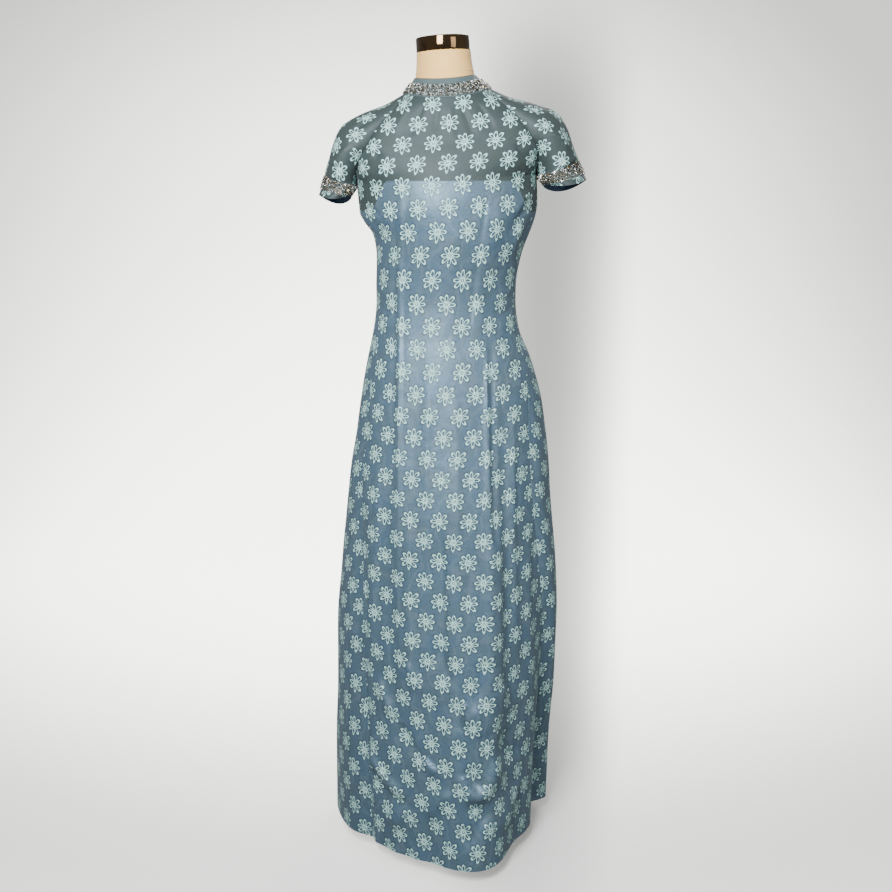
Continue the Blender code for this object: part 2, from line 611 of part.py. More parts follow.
def make_slider(strip):
    """The slider at the top of the closed zip, and the pull tab that hangs between its lugs."""
    low, high = strip[-3, 1], strip[-1, 1]
    right = unit(strip[-2, 2] - strip[-2, 0])
    up = unit(high - low - right * ((high - low) @ right))
    out = np.cross(up, right)
    centre = strip[-2, 1] + out * SLIDER_LIFT

    def place(across, outward, along):
        return centre + right * across + out * outward + up * along

    inner = SLIDER_HALF - LUG_WIDE
    outline = [(-SLIDER_HALF, 0), (SLIDER_HALF, 0), (SLIDER_HALF, SLIDER_TALL), (inner, SLIDER_TALL),
               (inner, SLIDER_FLOOR), (-inner, SLIDER_FLOOR), (-inner, SLIDER_TALL),
               (-SLIDER_HALF, SLIDER_TALL)]
    half = SLIDER_LONG / 2
    extruded("zip_slider", outline, -half, half, place, "zip_metal")
    tab = [(PULL_NECK_HALF, PULL_EYE), (PULL_NECK_HALF, -PULL_NECK), (PULL_HALF, -PULL_NECK),
           (PULL_HALF, -PULL_LONG), (-PULL_HALF, -PULL_LONG), (-PULL_HALF, -PULL_NECK),
           (-PULL_NECK_HALF, -PULL_NECK), (-PULL_NECK_HALF, PULL_EYE)]

    def place_tab(across, along, outward):
        return place(across, PULL_AXIS + outward, along)

    extruded("zip_pull", tab, -PULL_THICK / 2, PULL_THICK / 2, place_tab, "zip_metal")
    print("pull axis through", np.round(place(0, PULL_AXIS, 0), 5), "along", np.round(right, 5))


def make_form():
    heights = np.array([row[0] for row in FORM])
    angle = np.arange(FORM_SIDES)[None, :] * math.tau / FORM_SIDES
    level = heights[:, None] + 0 * angle
    form = form_at(level)
    lean = body_at(level).shift * (1 - ease(level, UNDERARM, SHOULDER))
    depth = np.where(np.sin(angle) < 0, form.front, form.back)
    rings = np.stack([lean + form.half_width * np.cos(angle), depth * np.sin(angle), level], axis=-1)
    rings[..., 0] += NECK_SHIFT * ease(heights, NECK_FROM, NECK_TO)[:, None]
    stack("form_torso", stand(rings), "cream_jersey")
    cap = [(CAP_RADIUS - CAP_ROUND, CAP_FOOT), (CAP_RADIUS, CAP_FOOT + CAP_ROUND),
           (CAP_RADIUS, CAP_TOP - CAP_ROUND), (CAP_RADIUS - CAP_ROUND, CAP_TOP)]
    turned("form_cap", cap, "dark_metal", upper=True)
    turned("form_pole", [(POLE_RADIUS, BASE_THICK + SEAM_GAP), (POLE_RADIUS, heights[0] - SEAM_GAP)],
           "stand_metal")
    edge = BASE_THICK / 2
    turned("form_base", [(BASE_RADIUS, 0), (BASE_RADIUS, edge), (BASE_RADIUS - edge, BASE_THICK)],
           "stand_metal", sides=48)


clear_scene()
make_slider(make_dress())
make_form()
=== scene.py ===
# %% [markdown]
# # A long sheath dress with a beaded collar, on a limbless dress form
# The dress is pale blue satin under a sheer cloth that is woven with whitish-mint flowers. It is
# fitted to the waist, falls straight to the floor, and has raglan cap sleeves, a low funnel
# collar with bead trim, bead trim round each sleeve, and a zip down the centre back. It stands on
# a form with a cream jersey neck and a dark metal cap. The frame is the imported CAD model: every
# piece made here rides on one of its bodies, in metres, +Z up, and the dress faces -Y.

# %% Load the frame
import math
from types import SimpleNamespace

import bmesh
import bpy
import numpy as np
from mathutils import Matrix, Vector


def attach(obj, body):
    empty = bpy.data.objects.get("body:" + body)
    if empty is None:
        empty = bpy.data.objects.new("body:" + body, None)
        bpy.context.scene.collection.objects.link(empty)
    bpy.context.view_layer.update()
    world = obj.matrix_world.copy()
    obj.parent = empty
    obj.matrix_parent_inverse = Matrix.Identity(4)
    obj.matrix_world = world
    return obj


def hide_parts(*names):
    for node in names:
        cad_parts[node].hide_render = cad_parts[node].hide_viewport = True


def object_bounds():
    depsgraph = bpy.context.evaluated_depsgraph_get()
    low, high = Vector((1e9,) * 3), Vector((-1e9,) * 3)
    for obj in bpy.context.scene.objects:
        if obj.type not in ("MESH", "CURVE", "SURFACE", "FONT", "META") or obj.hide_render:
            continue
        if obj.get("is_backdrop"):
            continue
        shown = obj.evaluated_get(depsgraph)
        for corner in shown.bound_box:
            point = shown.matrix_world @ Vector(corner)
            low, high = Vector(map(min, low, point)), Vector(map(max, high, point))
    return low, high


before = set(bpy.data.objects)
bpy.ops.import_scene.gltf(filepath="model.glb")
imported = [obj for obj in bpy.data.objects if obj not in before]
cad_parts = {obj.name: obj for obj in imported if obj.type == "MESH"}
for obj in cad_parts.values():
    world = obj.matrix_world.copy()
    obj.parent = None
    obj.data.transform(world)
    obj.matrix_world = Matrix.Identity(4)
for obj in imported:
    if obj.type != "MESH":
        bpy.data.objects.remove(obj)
cad_low, cad_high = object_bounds()
DRESS = "dress_on_form"
PULL = "pull_tab"
print("CAD box:", [round(v, 3) for v in (*cad_low, *cad_high)])

# %% [markdown]
# ## The camera
# The photograph looks slightly down on the dress from chest height, a little over two metres away.
# A lens of about 50 mm on a square frame gives the same taper from shoulder to hem.

# %% Camera
CAMERA_PLACE = (0.0, -2.36, 1.306)
CAMERA_PITCH = 77.8
LENS = 50.45

camera_data = bpy.data.cameras.new("camera")
camera_data.lens = LENS
camera_data.sensor_width = 36
camera = bpy.data.objects.new("camera", camera_data)
camera.location = CAMERA_PLACE
camera.rotation_euler = (math.radians(CAMERA_PITCH), 0, 0)
bpy.context.scene.collection.objects.link(camera)
bpy.context.scene.camera = camera
print("camera at", CAMERA_PLACE, "lens", LENS)

# %% [markdown]
# ## The sizes of the cut
# A dressmaker's block is a few girths and depths at set heights. The same short tables that shape
# the CAD solids shape the fine cloth here, so the two agree. Each row is one height, and a smooth
# curve that never overshoots runs through the rows.

# %% Sizes and tables
CLOTH = 0.0015
SEAM_GAP = 0.0003
LINING_THICK = 0.0010
HEM = 0.030
UNDERARM = 1.298
SHOULDER = 1.380
ZIP_FOOT = 0.950
ZIP_HALF = 0.0022
ZIP_OPENING = ZIP_HALF + SEAM_GAP
TRIM_OPENING = 0.0045
ROLL = math.radians(3.2)
ROLL_CENTRE = (0.0, 1.500)
ROLL_FROM, ROLL_TO = 1.10, 1.27
SIDES = {"left": -1, "right": 1}

BODY_COLUMNS = ("height", "half_width", "shift", "front", "back", "axis",
                "seam_left", "seam_right", "valley_left", "valley_right")
BODY = (
    (0.030, 0.2190, -0.0085, 0.218, 0.176, 0.050, 47, 84, 0.014, 0.038),
    (0.184, 0.2185, -0.0065, 0.205, 0.171, 0.034, 48, 82, 0.011, 0.032),
    (0.314, 0.2185, -0.0005, 0.191, 0.164, 0.022, 50, 77, 0.009, 0.027),
    (0.441, 0.2185, 0.0020, 0.179, 0.157, 0.015, 52, 70, 0.007, 0.020),
    (0.566, 0.2105, 0.0055, 0.168, 0.150, 0.006, 55, 62, 0.006, 0.013),
    (0.688, 0.1980, 0.0060, 0.158, 0.144, 0.000, 59, 57, 0.005, 0.008),
    (0.768, 0.1905, 0.0080, 0.148, 0.140, 0.000, 62, 54, 0.004, 0.006),
    (0.827, 0.1820, 0.0100, 0.140, 0.136, 0.000, 62, 54, 0.003, 0.004),
    (0.882, 0.1740, 0.0100, 0.134, 0.133, 0.000, 63, 56, 0.002, 0.002),
    (0.932, 0.1640, 0.0080, 0.127, 0.124, 0.000, 65, 61, 0.000, 0.000),
    (0.979, 0.1515, 0.0050, 0.119, 0.111, 0.000, 72, 66, 0.000, 0.000),
    (1.024, 0.1375, 0.0005, 0.110, 0.098, 0.000, 78, 72, 0.000, 0.000),
    (1.077, 0.1310, 0.0000, 0.106, 0.088, 0.000, 82, 76, 0.000, 0.000),
    (1.115, 0.1315, 0.0000, 0.110, 0.087, 0.000, 84, 78, 0.000, 0.000),
    (1.159, 0.1350, 0.0000, 0.119, 0.091, 0.000, 85, 76, 0.000, 0.000),
    (1.204, 0.1465, 0.0005, 0.127, 0.097, 0.000, 86, 72, 0.000, 0.003),
    (1.250, 0.1650, -0.0090, 0.129, 0.101, 0.000, 87, 78, 0.000, 0.000),
    (1.298, 0.1660, -0.0100, 0.124, 0.102, 0.000, 88, 86, 0.000, 0.000),
)
YOKE_COLUMNS = ("along", "seam_x", "front_y", "front_z", "back_x", "back_y", "back_z",
                "top_x", "top_z", "half_depth", "centre_front_y", "centre_front_z",
                "centre_back_y", "centre_back_z", "sway")
YOKE = (
    (0, 0.0761, -0.0274, 1.4534, 0.0734, 0.0296, 1.4555, 0.0810, 1.4550, 0.0285,
     -0.080, 1.4415, 0.070, 1.4580, 0.000),
    (1, 0.0950, -0.0500, 1.4305, 0.0930, 0.0490, 1.4360, 0.1100, 1.4410, 0.0500,
     -0.087, 1.4240, 0.078, 1.4380, 0.000),
    (2, 0.1270, -0.0680, 1.3950, 0.1260, 0.0640, 1.4000, 0.1630, 1.4235, 0.0680,
     -0.095, 1.3920, 0.088, 1.4040, 0.000),
    (3, 0.1465, -0.0700, 1.3670, 0.1450, 0.0680, 1.3700, 0.1975, 1.4045, 0.0740,
     -0.104, 1.3660, 0.094, 1.3740, -0.002),
    (4, 0.1590, -0.0590, 1.3460, 0.1570, 0.0600, 1.3480, 0.2155, 1.3735, 0.0735,
     -0.113, 1.3440, 0.097, 1.3500, -0.004),
    (5, 0.1640, -0.0380, 1.3210, 0.1630, 0.0410, 1.3210, 0.2250, 1.3470, 0.0705,
     -0.120, 1.3210, 0.100, 1.3220, -0.008),
    (6, 0.1660, -0.0010, 1.2980, 0.1660, 0.0010, 1.2980, 0.2330, 1.3235, 0.0685,
     -0.124, 1.2980, 0.102, 1.2980, -0.010),
    (7, 0.1780, -0.0002, 1.2780, 0.1780, 0.0002, 1.2780, 0.2475, 1.2840, 0.0670,
     -0.124, 1.2980, 0.102, 1.2980, -0.010),
)
NECK_ROW, UNDERARM_ROW, CUFF_ROW = 0, 6, 7
FIRST_YOKE_ROW = 0.5
BAND_FROM, BAND_TO = 6.15, 6.75
LINING_TO = 6.93
CUFF_DIP = 0.010
CUFF_TIP = 0.088
SHOULDER_Y = 0.002

COLLAR_SIZES = ("step", "half_width", "front", "back", "side_z", "front_z", "back_z")
COLLAR = (
    (0.00, 0.0810, 0.0800, 0.0700, 1.4550, 1.4415, 1.4580),
    (0.35, 0.0725, 0.0725, 0.0655, 1.4642, 1.4530, 1.4675),
    (0.66, 0.0640, 0.0660, 0.0610, 1.4728, 1.4640, 1.4758),
    (0.86, 0.0590, 0.0610, 0.0580, 1.4780, 1.4708, 1.4808),
    (1.00, 0.0560, 0.0580, 0.0560, 1.4815, 1.4750, 1.4840),
)
TRIM_FROM, TRIM_TO = 0.05, 0.66
RAGLAN_FRONT = math.radians(70)
RAGLAN_BACK = math.radians(115)
NECK_SHIFT = -0.003
NECK_FROM, NECK_TO = 1.44, 1.48

FORM_COLUMNS = ("height", "half_width", "front", "back")
FORM = (
    (0.7200, 0.1600, 0.1160, 0.1120),
    (0.7270, 0.1680, 0.1230, 0.1200),
    (0.8000, 0.1700, 0.1270, 0.1250),
    (0.8700, 0.1620, 0.1240, 0.1230),
    (0.9400, 0.1500, 0.1160, 0.1130),
    (1.0100, 0.1310, 0.1030, 0.0920),
    (1.0770, 0.1215, 0.0960, 0.0780),
    (1.1500, 0.1250, 0.1070, 0.0810),
    (1.2040, 0.1350, 0.1170, 0.0870),
    (1.2500, 0.1470, 0.1190, 0.0910),
    (1.2900, 0.1560, 0.1140, 0.0920),
    (1.3300, 0.1650, 0.1030, 0.0880),
    (1.3650, 0.1720, 0.0910, 0.0810),
    (1.3900, 0.1720, 0.0820, 0.0730),
    (1.4070, 0.1640, 0.0740, 0.0650),
    (1.4170, 0.1500, 0.0690, 0.0610),
    (1.4260, 0.1280, 0.0670, 0.0590),
    (1.4340, 0.1010, 0.0650, 0.0580),
    (1.4440, 0.0770, 0.0620, 0.0565),
    (1.4560, 0.0620, 0.0590, 0.0550),
    (1.4700, 0.0558, 0.0564, 0.0545),
    (1.4840, 0.0532, 0.0555, 0.0535),
    (1.5050, 0.0505, 0.0515, 0.0505),
    (1.5250, 0.0486, 0.0486, 0.0486),
)
print("tables:", len(BODY), "body rows,", len(YOKE), "yoke rows,", len(COLLAR), "collar rows")

# %% [markdown]
# ## Folds and creases
# A long skirt hangs in a few broad folds that start at the hips and grow towards the hem. Those
# are in the CAD solids too. Over them lie the creases that give cloth away as cloth: the fan of
# pulls under the collar, drag lines at the bust and waist, the pressed dart lines, and crumpled
# diagonals near the hem where the satin clings under the sheer layer. Simulation would settle
# them anywhere, so each is placed one by one, as a ridge (above zero) or a trough (below zero).

# %% Broad folds
FOLD_COLUMNS = ("top_x", "foot_x", "top_z", "foot_z", "half_width", "top_rise", "foot_rise")
FRONT_FOLDS = {
    "left_dart": (-0.072, -0.085, 1.27, 0.35, 0.016, 0.0030, 0.0035),
    "right_dart": (0.082, 0.052, 1.27, 1.00, 0.014, 0.0030, 0.0020),
    "right_crease": (0.078, 0.084, 1.02, 0.20, 0.013, 0.0030, 0.0050),
    "right_hollow": (0.108, 0.116, 1.00, 0.20, 0.018, -0.0030, -0.0060),
    "front_swing": (0.035, 0.060, 0.95, 0.02, 0.055, 0.0000, 0.0320),
    "right_return": (0.150, 0.150, 0.80, 0.02, 0.040, 0.0000, -0.0200),
    "left_fall": (-0.120, -0.120, 0.85, 0.02, 0.070, 0.0000, -0.0320),
    "left_ripple": (-0.120, -0.112, 0.60, 0.02, 0.022, 0.0000, 0.0080),
    "middle_ripple": (-0.030, -0.030, 0.50, 0.02, 0.024, 0.0000, -0.0080),
}
BACK_FOLDS = {
    "back_left_drape": (-0.060, -0.095, 0.85, 0.02, 0.036, 0.0000, 0.0170),
    "back_left_hollow": (-0.020, -0.040, 0.80, 0.02, 0.026, 0.0000, -0.0100),
    "back_right_hollow": (0.060, 0.085, 0.85, 0.02, 0.034, 0.0000, -0.0130),
    "back_right_drape": (0.110, 0.140, 0.80, 0.02, 0.034, 0.0000, 0.0120),
}
FOLD_FADE = 0.30
FOLD_FACING = 0.35
FOLD_TAIL_BELOW, FOLD_TAIL_ABOVE = 0.06, 0.01
VALLEY_BEFORE = {"left": 0.014, "right": 0.075}
VALLEY_BEHIND = {"left": 0.030, "right": 0.016}
print("broad folds:", len(FRONT_FOLDS), "before,", len(BACK_FOLDS), "behind")

# %% Creases
CREASE_COLUMNS = ("x", "z", "end_x", "end_z", "half_width", "rise", "bow")
FRONT_CREASES = (
    # the fan of pulls under the collar
    (-0.037, 1.428, -0.060, 1.375, 0.006, -0.0014, 0.002),
    (-0.012, 1.430, -0.018, 1.385, 0.006, -0.0010, 0.000),
    (0.028, 1.425, 0.050, 1.372, 0.006, -0.0016, -0.002),
    (0.056, 1.430, 0.085, 1.385, 0.006, -0.0011, -0.003),
    (-0.062, 1.425, -0.088, 1.380, 0.006, 0.0011, 0.003),
    (0.008, 1.425, 0.012, 1.368, 0.009, 0.0011, 0.000),
    # drag lines from the arm to the bust
    (-0.140, 1.290, -0.104, 1.332, 0.007, 0.0020, 0.003),
    (-0.146, 1.318, -0.118, 1.350, 0.007, -0.0016, 0.003),
    (0.146, 1.305, 0.112, 1.342, 0.007, 0.0020, -0.003),
    (0.150, 1.330, 0.124, 1.362, 0.007, -0.0016, -0.003),
    (-0.152, 1.262, -0.116, 1.238, 0.008, -0.0019, 0.002),
    (-0.148, 1.232, -0.116, 1.203, 0.008, 0.0017, 0.002),
    (0.152, 1.276, 0.124, 1.234, 0.009, 0.0022, 0.004),
    (0.147, 1.250, 0.120, 1.198, 0.008, -0.0022, 0.004),
    (0.140, 1.216, 0.118, 1.163, 0.008, 0.0019, 0.003),
    # the pressed dart lines
    (-0.078, 1.262, -0.086, 0.450, 0.006, 0.0024, 0.003),
    (-0.088, 1.250, -0.092, 0.700, 0.005, -0.0012, 0.003),
    (0.078, 1.285, 0.062, 1.180, 0.0035, -0.0016, 0.001),
    (0.062, 1.180, 0.044, 1.035, 0.0035, -0.0013, 0.001),
    (0.074, 1.000, 0.082, 0.700, 0.0035, 0.0022, 0.001),
    (0.086, 0.990, 0.093, 0.620, 0.006, -0.0024, 0.001),
    (0.082, 0.700, 0.088, 0.350, 0.004, 0.0013, 0.002),
    # across the waist
    (-0.125, 1.106, -0.088, 1.086, 0.006, 0.0011, 0.003),
    (-0.122, 1.070, -0.084, 1.060, 0.007, -0.0013, 0.002),
    (-0.122, 1.034, -0.090, 1.040, 0.006, 0.0011, -0.002),
    (0.121, 1.101, 0.086, 1.084, 0.006, 0.0012, -0.003),
    (0.123, 1.065, 0.090, 1.054, 0.007, -0.0013, -0.002),
    (0.126, 1.030, 0.096, 1.036, 0.006, 0.0011, 0.002),
    # long soft lines of the skirt
    (-0.030, 0.950, -0.034, 0.550, 0.012, 0.0013, 0.003),
    (0.016, 0.900, 0.020, 0.640, 0.014, 0.0018, -0.004),
    (-0.064, 0.680, -0.062, 0.390, 0.014, 0.0034, 0.003),
    (-0.006, 0.660, -0.002, 0.400, 0.014, -0.0032, 0.002),
    (0.045, 0.620, 0.050, 0.380, 0.012, -0.0020, 0.003),
    (0.096, 0.680, 0.100, 0.330, 0.018, 0.0046, 0.003),
    (0.125, 0.850, 0.135, 0.400, 0.010, 0.0026, 0.004),
    (-0.125, 0.800, -0.140, 0.450, 0.010, 0.0021, -0.004),
    (-0.150, 0.620, -0.158, 0.250, 0.011, -0.0026, 0.003),
    (0.155, 0.660, 0.168, 0.300, 0.012, 0.0026, 0.004),
    # crumpled diagonals towards the hem
    (-0.152, 0.190, -0.086, 0.130, 0.014, -0.0042, 0.004),
    (-0.150, 0.216, -0.080, 0.150, 0.014, 0.0038, 0.004),
    (-0.125, 0.372, -0.100, 0.308, 0.012, 0.0038, 0.003),
    (-0.084, 0.290, -0.050, 0.236, 0.013, -0.0038, 0.003),
    (-0.071, 0.420, -0.048, 0.365, 0.013, 0.0030, 0.002),
    (-0.040, 0.235, -0.012, 0.212, 0.009, 0.0042, 0.002),
    (-0.068, 0.128, -0.096, 0.080, 0.014, 0.0034, 0.003),
    (-0.011, 0.455, 0.010, 0.385, 0.014, -0.0028, 0.003),
    (0.008, 0.178, -0.030, 0.118, 0.014, 0.0038, 0.003),
    (0.035, 0.352, 0.046, 0.305, 0.007, 0.0038, 0.001),
    (0.024, 0.350, 0.034, 0.300, 0.010, -0.0032, 0.001),
    (0.056, 0.345, 0.076, 0.290, 0.014, 0.0032, 0.002),
    (0.030, 0.215, 0.060, 0.166, 0.010, 0.0052, 0.002),
    (0.060, 0.166, 0.092, 0.236, 0.012, 0.0052, 0.003),
    (0.048, 0.232, 0.062, 0.190, 0.014, -0.0038, 0.001),
    (0.040, 0.160, 0.085, 0.148, 0.017, -0.0038, 0.003),
    (0.071, 0.425, 0.060, 0.350, 0.012, -0.0032, 0.002),
    (0.101, 0.375, 0.124, 0.310, 0.013, 0.0038, 0.003),
    (0.112, 0.280, 0.140, 0.210, 0.014, -0.0038, 0.004),
    (0.083, 0.140, 0.045, 0.078, 0.014, -0.0038, 0.003),
    (0.140, 0.155, 0.112, 0.085, 0.014, 0.0042, 0.003),
)
BACK_CREASES = (
    # pulls at the neck and between the shoulders
    (-0.030, 1.430, -0.048, 1.385, 0.007, -0.0013, 0.002),
    (0.040, 1.432, 0.062, 1.380, 0.007, -0.0014, -0.002),
    (-0.110, 1.360, -0.070, 1.372, 0.010, 0.0017, 0.004),
    (0.112, 1.352, 0.066, 1.370, 0.010, 0.0018, -0.004),
    # drag lines at the underarms and the hollow of the back
    (-0.150, 1.270, -0.112, 1.228, 0.009, -0.0022, 0.003),
    (-0.144, 1.235, -0.108, 1.196, 0.009, 0.0020, 0.003),
    (0.152, 1.286, 0.116, 1.236, 0.010, 0.0028, -0.003),
    (0.146, 1.250, 0.110, 1.196, 0.010, -0.0028, -0.003),
    (0.136, 1.212, 0.104, 1.160, 0.009, 0.0024, -0.003),
    (-0.112, 1.120, -0.050, 1.104, 0.008, 0.0018, 0.004),
    (-0.110, 1.088, -0.040, 1.080, 0.009, -0.0020, 0.004),
    (-0.108, 1.052, -0.052, 1.056, 0.008, 0.0017, -0.003),
    (0.110, 1.112, 0.046, 1.096, 0.008, 0.0019, -0.004),
    (0.112, 1.078, 0.042, 1.072, 0.009, -0.0021, -0.004),
    (0.110, 1.044, 0.054, 1.050, 0.008, 0.0016, 0.003),
    # long soft lines of the skirt
    (-0.070, 0.900, -0.078, 0.480, 0.012, 0.0022, 0.004),
    (0.066, 0.880, 0.078, 0.500, 0.012, 0.0021, 0.004),
    (-0.130, 0.760, -0.146, 0.380, 0.012, -0.0026, 0.004),
    (0.034, 0.740, 0.038, 0.330, 0.013, -0.0022, 0.003),
    (0.142, 0.700, 0.158, 0.330, 0.012, 0.0028, 0.004),
    (-0.034, 0.660, -0.036, 0.280, 0.012, 0.0020, 0.003),
    # crumpled diagonals towards the hem
    (-0.150, 0.300, -0.110, 0.240, 0.014, 0.0040, 0.003),
    (-0.120, 0.200, -0.070, 0.150, 0.016, -0.0040, 0.004),
    (-0.070, 0.360, -0.044, 0.300, 0.013, -0.0034, 0.003),
    (-0.020, 0.220, 0.012, 0.160, 0.013, 0.0038, 0.003),
    (0.050, 0.340, 0.078, 0.280, 0.013, 0.0036, 0.003),
    (0.090, 0.230, 0.060, 0.160, 0.014, -0.0040, 0.003),
    (0.150, 0.260, 0.118, 0.180, 0.014, 0.0040, 0.003),
    (0.030, 0.120, 0.070, 0.080, 0.014, 0.0034, 0.003),
    (-0.090, 0.110, -0.124, 0.070, 0.014, 0.0034, 0.003),
)
# On a sleeve a crease is placed on the flat cut: across from the shoulder line, and down from the neck
SLEEVE_CREASES = (
    (-0.050, -0.060, -0.075, -0.130, 0.007, -0.0016, 0.004),
    (-0.030, -0.085, -0.045, -0.170, 0.008, 0.0014, 0.003),
    (0.048, -0.070, 0.070, -0.140, 0.007, -0.0016, -0.004),
    (0.022, -0.100, 0.036, -0.180, 0.009, 0.0013, 0.003),
    (-0.086, -0.150, -0.058, -0.196, 0.007, 0.0018, 0.003),
    (0.088, -0.150, 0.062, -0.194, 0.007, 0.0018, 0.003),
    (-0.008, -0.130, -0.004, -0.196, 0.008, -0.0012, 0.002),
)
print("creases:", len(FRONT_CREASES), "before,", len(BACK_CREASES), "behind,", len(SLEEVE_CREASES),
      "on each sleeve")

# %% [markdown]
# ## Curves, folds and surfaces
# A garment has a few true surfaces: the body, the yoke that closes over the shoulders, the sleeve
# tubes and the collar. Each is a function from two numbers to a point, so it can be sampled as
# finely as the look needs. A lofted mesh or a subdivided cage would do it too, but then the fine
# cloth would drift from the solids it stands for.

# %% Curves
def named(columns, row):
    """One row of a table, with its values by their column's name."""
    return SimpleNamespace(**dict(zip(columns, row)))


def smooth_curve(columns, table):
    """Follows a table's rows smoothly by its first column, and gives the other columns by name."""
    table = np.array(table, float)
    stops, values = table[:, 0], table[:, 1:]
    steps = np.diff(values, axis=0) / np.diff(stops)[:, None]
    before, after = steps[:-1], steps[1:]
    same_way = before * after > 0
    middle = np.where(same_way, 2 * before * after / np.where(same_way, before + after, 1), 0)
    slopes = np.concatenate([steps[:1], middle, steps[-1:]])

    def at(where):
        where = np.clip(np.asarray(where, float), stops[0], stops[-1])
        i = np.clip(np.searchsorted(stops, where) - 1, 0, len(stops) - 2)
        span = stops[i + 1] - stops[i]
        t = ((where - stops[i]) / span)[..., None]
        span = span[..., None]
        rise = t * t * (3 - 2 * t)
        found = (values[i] * (1 - rise) + values[i + 1] * rise
                 + span * slopes[i] * t * (1 - t) ** 2 - span * slopes[i + 1] * t * t * (1 - t))
        return named(columns[1:], np.moveaxis(found, -1, 0))

    return at


body_at = smooth_curve(BODY_COLUMNS, BODY)
yoke_at = smooth_curve(YOKE_COLUMNS, YOKE)
collar_at = smooth_curve(COLLAR_SIZES, COLLAR)
form_at = smooth_curve(FORM_COLUMNS, FORM)
UNDER = body_at(UNDERARM)


def ease(value, start, end):
    t = np.clip((value - start) / (end - start), 0, 1)
    return t * t * (3 - 2 * t)


def unit(vectors):
    return vectors / np.linalg.norm(vectors, axis=-1, keepdims=True)


def stand(points):
    """Rolls the upper body about the neck, as the dress stands in the photograph."""
    turn = ROLL * ease(points[..., 2], ROLL_FROM, ROLL_TO)
    across = points[..., 0] - ROLL_CENTRE[0]
    above = points[..., 2] - ROLL_CENTRE[1]
    out = points.copy()
    out[..., 0] = ROLL_CENTRE[0] + across * np.cos(turn) - above * np.sin(turn)
    out[..., 2] = ROLL_CENTRE[1] + above * np.cos(turn) + across * np.sin(turn)
    return out


print("waist half width", round(float(body_at(1.09).half_width), 4), "m")

# %% Folds on the body
def fold_rise(folds, x, z):
    rise = np.zeros_like(x)
    for row in folds.values():
        fold = named(FOLD_COLUMNS, row)
        run = np.clip((fold.top_z - z) / (fold.top_z - fold.foot_z), 0, 1)
        middle = fold.top_x + (fold.foot_x - fold.top_x) * run
        height = fold.top_rise + (fold.foot_rise - fold.top_rise) * run
        tail = ease(z, fold.foot_z - FOLD_TAIL_BELOW, fold.foot_z + FOLD_TAIL_ABOVE)
        across = np.exp(-((x - middle) / fold.half_width) ** 2)
        rise += height * ease(run, 0, FOLD_FADE) * tail * across
    return rise


def drape(points, angle, height):
    """Adds the broad folds and the valleys along the side seams to points of the body."""
    body = body_at(height)
    seams = {"left": (body.seam_left, body.valley_left),
             "right": (body.seam_right, body.valley_right)}
    facing = np.cos(angle)
    rise = fold_rise(FRONT_FOLDS, points[..., 0], height) * ease(facing, 0, FOLD_FACING)
    rise += fold_rise(BACK_FOLDS, points[..., 0], height) * ease(-facing, 0, FOLD_FACING)
    for name, side in SIDES.items():
        seam, depth = seams[name]
        behind = (side * angle - np.radians(seam)) * body.half_width
        span = np.where(behind > 0, VALLEY_BEHIND[name], VALLEY_BEFORE[name])
        rise -= depth * np.exp(-(behind / span) ** 2)
    outward = np.stack([np.sin(angle) * body.front, -facing * body.half_width, 0 * angle], axis=-1)
    return points + unit(outward) * rise[..., None]


CREASE_SCALE = 1.9
CREASE_START, CREASE_END = (-0.12, 0.22), (0.72, 1.15)
WIDTH_AT_START, WIDTH_GAIN = 0.75, 0.5
STEEP_SIDE, FLAT_SIDE = 0.55, 1.5
CREASE_POWER = 1.6


def crease_rise(creases, x, z):
    """How far the listed creases stand out at each point of a piece."""
    rise = np.zeros_like(x)
    for row in creases:
        crease = named(CREASE_COLUMNS, row)
        run_x, run_z = crease.end_x - crease.x, crease.end_z - crease.z
        length = math.hypot(run_x, run_z)
        run_x, run_z = run_x / length, run_z / length
        along = ((x - crease.x) * run_x + (z - crease.z) * run_z) / length
        off = (z - crease.z) * run_x - (x - crease.x) * run_z
        off = off + crease.bow * (1 - (2 * along - 1) ** 2)
        ends = ease(along, *CREASE_START) * (1 - ease(along, *CREASE_END))
        # one side of a crease falls steeply and the other lies flatter, as a fold in cloth does
        width = crease.half_width * (WIDTH_AT_START + WIDTH_GAIN * np.clip(along, 0, 1))
        width = width * np.where(off > 0, STEEP_SIDE, FLAT_SIDE)
        rise += CREASE_SCALE * crease.rise * ends * np.exp(-np.abs(off / width) ** CREASE_POWER)
    return rise


print("deepest valley", max(row[-1] for row in BODY), "m")

# %% Surfaces of the cut
def body_section(heights, angle):
    """Points round the body. The angle is 0 at the centre front and 180 degrees at the centre back."""
    body = body_at(heights)
    facing = np.cos(angle)
    depth = np.where(facing > 0, body.front + body.axis, body.back - body.axis)
    across = body.shift + body.half_width * np.sin(angle)
    return drape(np.stack([across, body.axis - depth * facing, heights], axis=-1), angle, heights)


def arc(edge, centre, angle, edge_angle):
    """Points of a row that curves from its centre line to its edge."""
    across = (np.sin(angle) / np.sin(edge_angle))[..., None]
    rise = ((np.cos(angle) - np.cos(edge_angle)) / (1 - np.cos(edge_angle)))[..., None]
    out = edge + (centre - edge) * rise
    out[..., :1] = centre[..., :1] + (edge[..., :1] - centre[..., :1]) * across
    return out


def collar_ring(step, angle):
    ring = collar_at(step)
    facing = np.cos(angle)
    depth = np.where(facing > 0, ring.front, ring.back)
    rise = np.where(facing > 0, ring.front_z, ring.back_z) - ring.side_z
    across = NECK_SHIFT * step + ring.half_width * np.sin(angle)
    return np.stack([across, -depth * facing, ring.side_z + rise * facing ** 2], -1)


def meet_neck(points, ring, rows):
    """Draws the rows nearest the neck in to the collar's seam."""
    share = ease(np.asarray(rows, float), 0, FIRST_YOKE_ROW)[:, None, None]
    return ring[None] * (1 - share) + points * share


